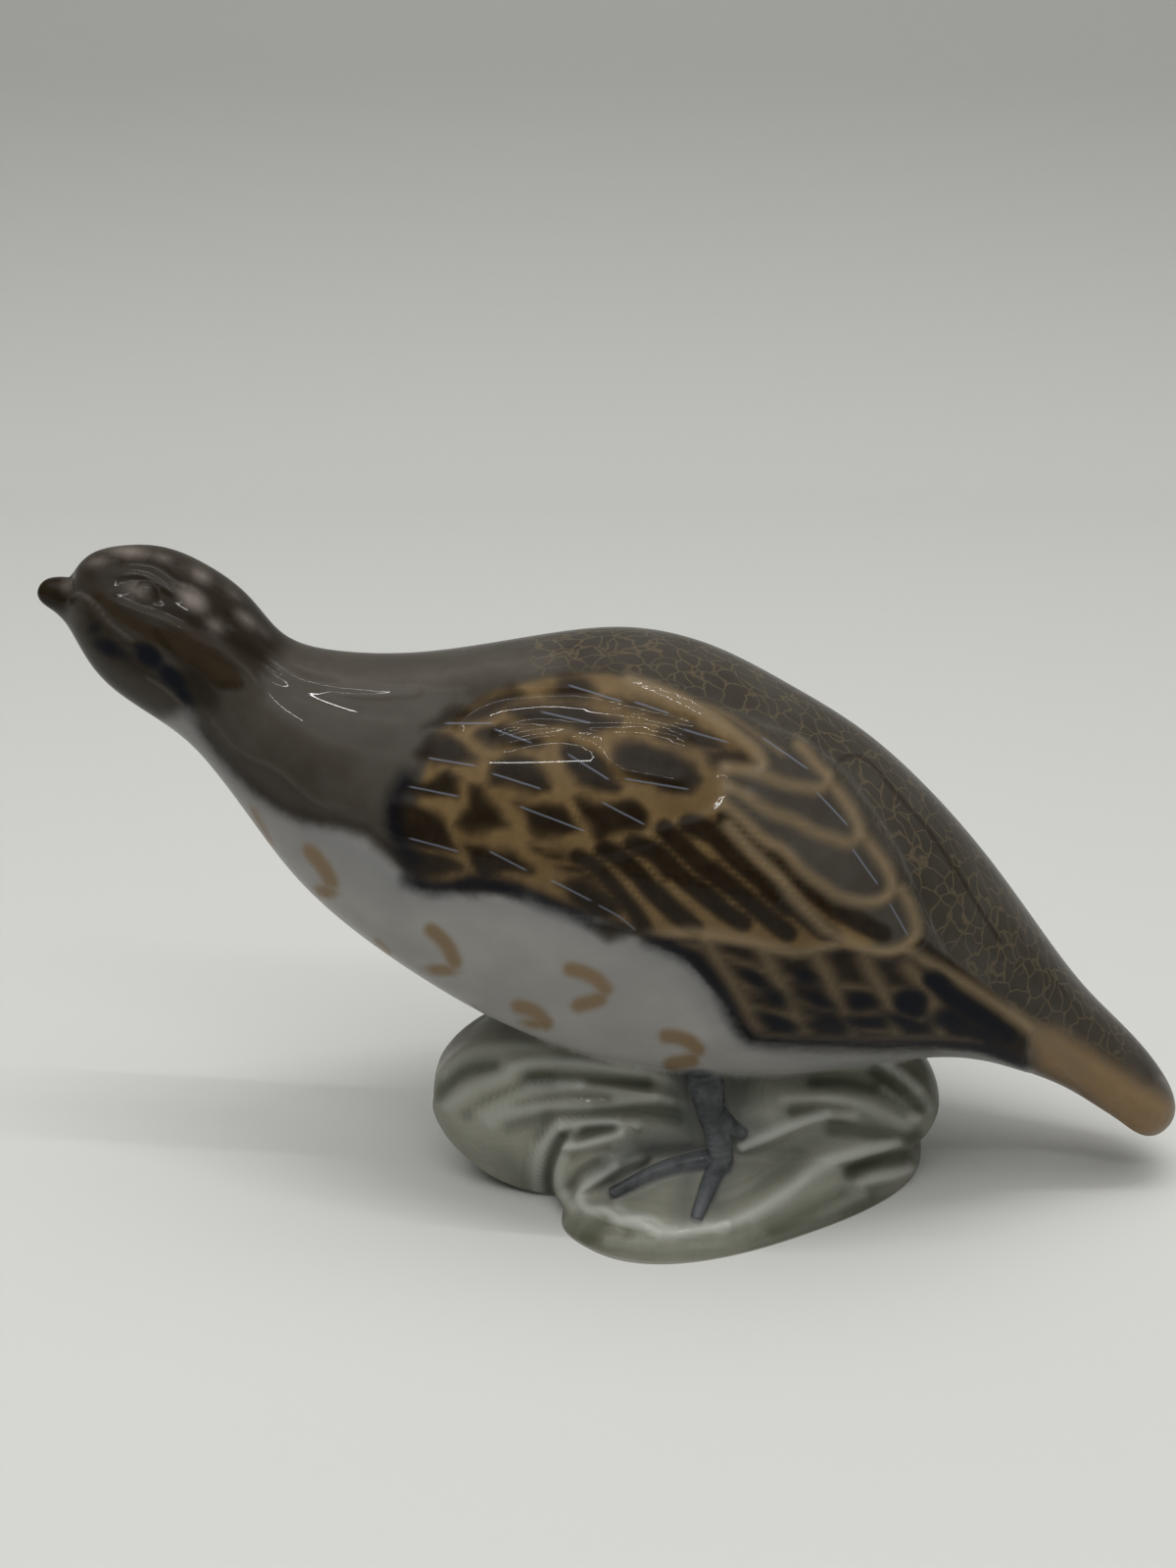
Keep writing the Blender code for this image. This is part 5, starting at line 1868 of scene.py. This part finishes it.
@dataclass
class Studio:
    """The pale floor that sweeps up behind the figure, and the plain light, in metres."""

    floor_colour: Colour = (0.62, 0.62, 0.60)
    floor_roughness: float = 0.85
    floor_sheen: float = 0.1
    half_width: float = 2.6
    front: float = -2.0
    flat: tuple[float, ...] = (-0.6, 0.0, 0.5)
    back: float = 0.92
    sweep: float = 0.30
    top: float = 2.2
    steps: int = 24
    lamps: tuple[Lamp, ...] = (
        Lamp("thin_top", (-0.02, -0.16, 0.80), (0.0, 0.0, 0.05), (0.50, 0.008), 1.5),
        Lamp("thin_front", (-0.08, -0.52, 0.72), (0.0, 0.0, 0.05), (0.60, 0.006), 1.0),
        Lamp("wall_wash", (0.0, 0.40, 1.10), (0.0, 1.20, 0.40), (1.6, 0.3), 0.8),
    )
    # The room is brightest in one direction, within these cosines of it, and dim elsewhere.
    room_colour: Colour = (1.0, 1.0, 0.985)
    brightest: Place = (-0.05, -0.25, 0.967)
    bright_edge: tuple[float, float] = (0.84, 0.16)
    ceiling: float = 2.4
    walls: float = 0.055

    def floor(self) -> bpy.types.Object:
        """Make the floor and the sweep as one curved sheet."""
        profile = [(y, 0.0) for y in (self.front, *self.flat)]
        for k in range(self.steps + 1):
            turn = math.pi / 2.0 * k / self.steps
            profile.append((self.back + self.sweep * math.sin(turn), self.sweep * (1.0 - math.cos(turn))))
        profile.append((self.back + self.sweep, self.top))
        mesh = bmesh.new()
        left = [mesh.verts.new((-self.half_width, y, z)) for y, z in profile]
        right = [mesh.verts.new((self.half_width, y, z)) for y, z in profile]
        for k in range(len(profile) - 1):
            mesh.faces.new((left[k], left[k + 1], right[k + 1], right[k]))
        bmesh.ops.recalc_face_normals(mesh, faces=mesh.faces)
        data = bpy.data.meshes.new("floor")
        mesh.to_mesh(data)
        mesh.free()
        data.shade_smooth()
        data.materials.append(self.floor_material())
        floor = link_object("floor", data)
        return floor

    def floor_material(self) -> bpy.types.Material:
        """Matt off-white paper."""
        material = bpy.data.materials.new("paper")
        material.use_nodes = True
        shader = material.node_tree.nodes["Principled BSDF"]
        shader.inputs["Base Color"].default_value = (*self.floor_colour, 1.0)
        shader.inputs["Roughness"].default_value = self.floor_roughness
        shader.inputs["Specular IOR Level"].default_value = self.floor_sheen
        return material

    def light(self) -> None:
        """Hang the lamps and set the even light of the room."""
        for lamp in self.lamps:
            lamp.hang()
        world = bpy.data.worlds.new("room")
        world.use_nodes = True
        graph = Graph(world.node_tree)
        height = graph.wire("ShaderNodeVectorMath", {"operation": "DOT_PRODUCT"}, {
            0: graph.wire("ShaderNodeTexCoord", output="Generated"), 1: self.brightest}, "Value")
        strength = graph.edge(height, *self.bright_edge) * (self.ceiling - self.walls) + self.walls
        background = world.node_tree.nodes["Background"]
        graph.feed(background.inputs["Color"], (*self.room_colour, 1.0))
        graph.feed(background.inputs["Strength"], strength)
        bpy.context.scene.world = world


def gathered(items: Any, name: str, each: int = 1, kind: type = np.int32) -> np.ndarray:
    """Read one property of all of a mesh's elements, each of which has some numbers of a kind."""
    values = np.zeros(len(items) * each, kind)
    items.foreach_get(name, values)
    return values


@dataclass
class MeshData:
    """A mesh read into arrays: points in millimetres, edges, and each point's share of every region."""

    points: np.ndarray
    edges: np.ndarray
    shares: np.ndarray

    @classmethod
    def read(cls, mesh: bpy.types.Mesh) -> "MeshData":
        """Read a mesh."""
        points = gathered(mesh.vertices, "co", 3, float)
        edges = gathered(mesh.edges, "vertices", 2)
        region = np.repeat(gathered(mesh.polygons, "material_index"), gathered(mesh.polygons, "loop_total"))
        shares = np.zeros((len(mesh.vertices), len(Region)))
        np.add.at(shares, (gathered(mesh.loops, "vertex_index"), region), 1.0)
        shares /= np.maximum(shares.sum(axis=1, keepdims=True), 1.0)
        return cls(points.reshape(-1, 3) / MM, edges.reshape(-1, 2), shares)

    def neighbour_mean(self, values: np.ndarray) -> np.ndarray:
        """Average a value over the points that each point shares an edge with.

        Args:
            values: A row for each point.

        Returns:
            The means.
        """
        total = np.zeros_like(values)
        np.add.at(total, self.edges[:, 0], values[self.edges[:, 1]])
        np.add.at(total, self.edges[:, 1], values[self.edges[:, 0]])
        return total / np.bincount(self.edges.ravel(), minlength=len(values))[:, None]


@dataclass
class Figurine:
    """The whole figure: its parts joined, softened where they meet, hollowed, painted and glazed."""

    view: PictureView = field(default_factory=PictureView)
    # Creases are softened this far out, this strongly and this often, but not under sharp_below.
    fillet: float = 1.8
    softening: float = 0.6
    passes: int = 18
    sharp_below: float = 1.0
    blur_passes: int = 4
    # The glaze is wiped off the foot up to this height, and thins over the run under it.
    bare_height: float = 0.35
    bare_run: float = 0.3

    @staticmethod
    def join(operation: str, base: bpy.types.Object, tools: list[bpy.types.Object]) -> bpy.types.Object:
        """Join tools to a solid or cut them out of it, in one step.

        Args:
            operation: UNION or DIFFERENCE.
            base: The solid to start from.
            tools: The solids that are joined or cut out; they are used up.

        Returns:
            The solid that results.
        """
        group = bpy.data.collections.new("tools")
        for tool in tools:
            group.objects.link(tool)
        modifier = base.modifiers.new("join", "BOOLEAN")
        modifier.operation = operation
        modifier.solver = "MANIFOLD"
        modifier.material_mode = "INDEX"
        modifier.operand_type = "COLLECTION"
        modifier.collection = group
        data = evaluated_mesh(base)
        for tool in tools + [base]:
            bpy.data.objects.remove(tool, do_unlink=True)
        bpy.data.collections.remove(group)
        return link_object("partridge", data)

    def soften_joints(self, mesh: bpy.types.Mesh) -> None:
        """Round the creases where bird, leg and rock meet, as glaze fills them.

        Args:
            mesh: The figure's mesh, whose points are moved.
        """
        data = MeshData.read(mesh)
        points = data.points
        crease = ((data.shares > 0.0).sum(axis=1) > 1) & (points[:, 2] > self.sharp_below)
        tree = KDTree(int(crease.sum()))
        for number, point in enumerate(points[crease]):
            tree.insert(point, number)
        tree.balance()
        gap = np.array([tree.find(point)[2] for point in points])
        weight = smooth_step(1.0 - gap / self.fillet)[:, None] * self.softening
        for _ in range(self.passes):
            points = points + weight * (data.neighbour_mean(points) - points)
        mesh.vertices.foreach_set("co", (points * MM).astype(np.float32).ravel())
        mesh.update()

    def paint(self, mesh: bpy.types.Mesh, rock: Rock) -> None:
        """Store every pigment's cover at the points of the mesh.

        Args:
            mesh: The figure's mesh.
            rock: The rock in it, whose folds the paint follows.
        """
        data = MeshData.read(mesh)
        shares = data.shares
        for _ in range(self.blur_passes):
            shares = (shares + data.neighbour_mean(shares)) / 2.0
        normals = gathered(mesh.vertex_normals, "vector", 3, float)
        fields = Plumage(self.view).shading(data.points, normals.reshape(-1, 3))
        fields.update(StonePaint(self.view, rock).shading(data.points))
        fields["rock"] = shares[:, Region.ROCK.value]
        fields["leg"] = shares[:, Region.LEG.value]
        low = smooth_step((self.bare_height - data.points[:, 2]) / self.bare_run)
        fields["foot"] = np.maximum(low, shares[:, Region.INSIDE.value])
        for name, value in fields.items():
            attribute = mesh.attributes.new(name, "FLOAT", "POINT")
            attribute.data.foreach_set("value", value.astype(np.float32))

    def build(self) -> bpy.types.Object:
        """Make the finished figure."""
        bird = Bird(self.view)
        rock = Rock(self.view)
        glaze = Glaze().build()
        body = bird.build()
        log.info("bird carved with %d points", len(body.data.vertices))
        tools = [rock.build()] + Legs(rock).build(glaze) + Eyes(bird).build()
        figure = self.join("UNION", body, tools)
        log.info("bird, rock, legs and eyes joined, %d points", len(figure.data.vertices))
        figure = self.join("DIFFERENCE", figure, Inside(bird, rock).build())
        mesh = figure.data
        log.info("figure hollowed, %d points", len(mesh.vertices))
        self.soften_joints(mesh)
        self.paint(mesh, rock)
        figure.name = "painted_partridge"
        mesh.name = "painted_partridge"
        mesh.materials.clear()
        mesh.materials.append(glaze)
        mesh.polygons.foreach_set("material_index", np.zeros(len(mesh.polygons), np.int32))
        mesh.shade_smooth()
        log.info("figure painted and glazed, %d triangles", len(mesh.loop_triangles))
        return figure


def main() -> None:
    """Build the figure and its studio, and report each piece."""
    logging.basicConfig(level=logging.INFO, format="%(name)s: %(message)s")
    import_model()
    bpy.context.scene.view_settings.view_transform = "Standard"
    figurine = Figurine()
    figurine.view.make_camera()
    figure = figurine.build()
    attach(figure, "root")
    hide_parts(NODE)
    studio = Studio()
    studio.floor()
    log.info("floor laid")
    studio.light()
    log.info("scene ready")


if __name__ == "__main__":
    main()
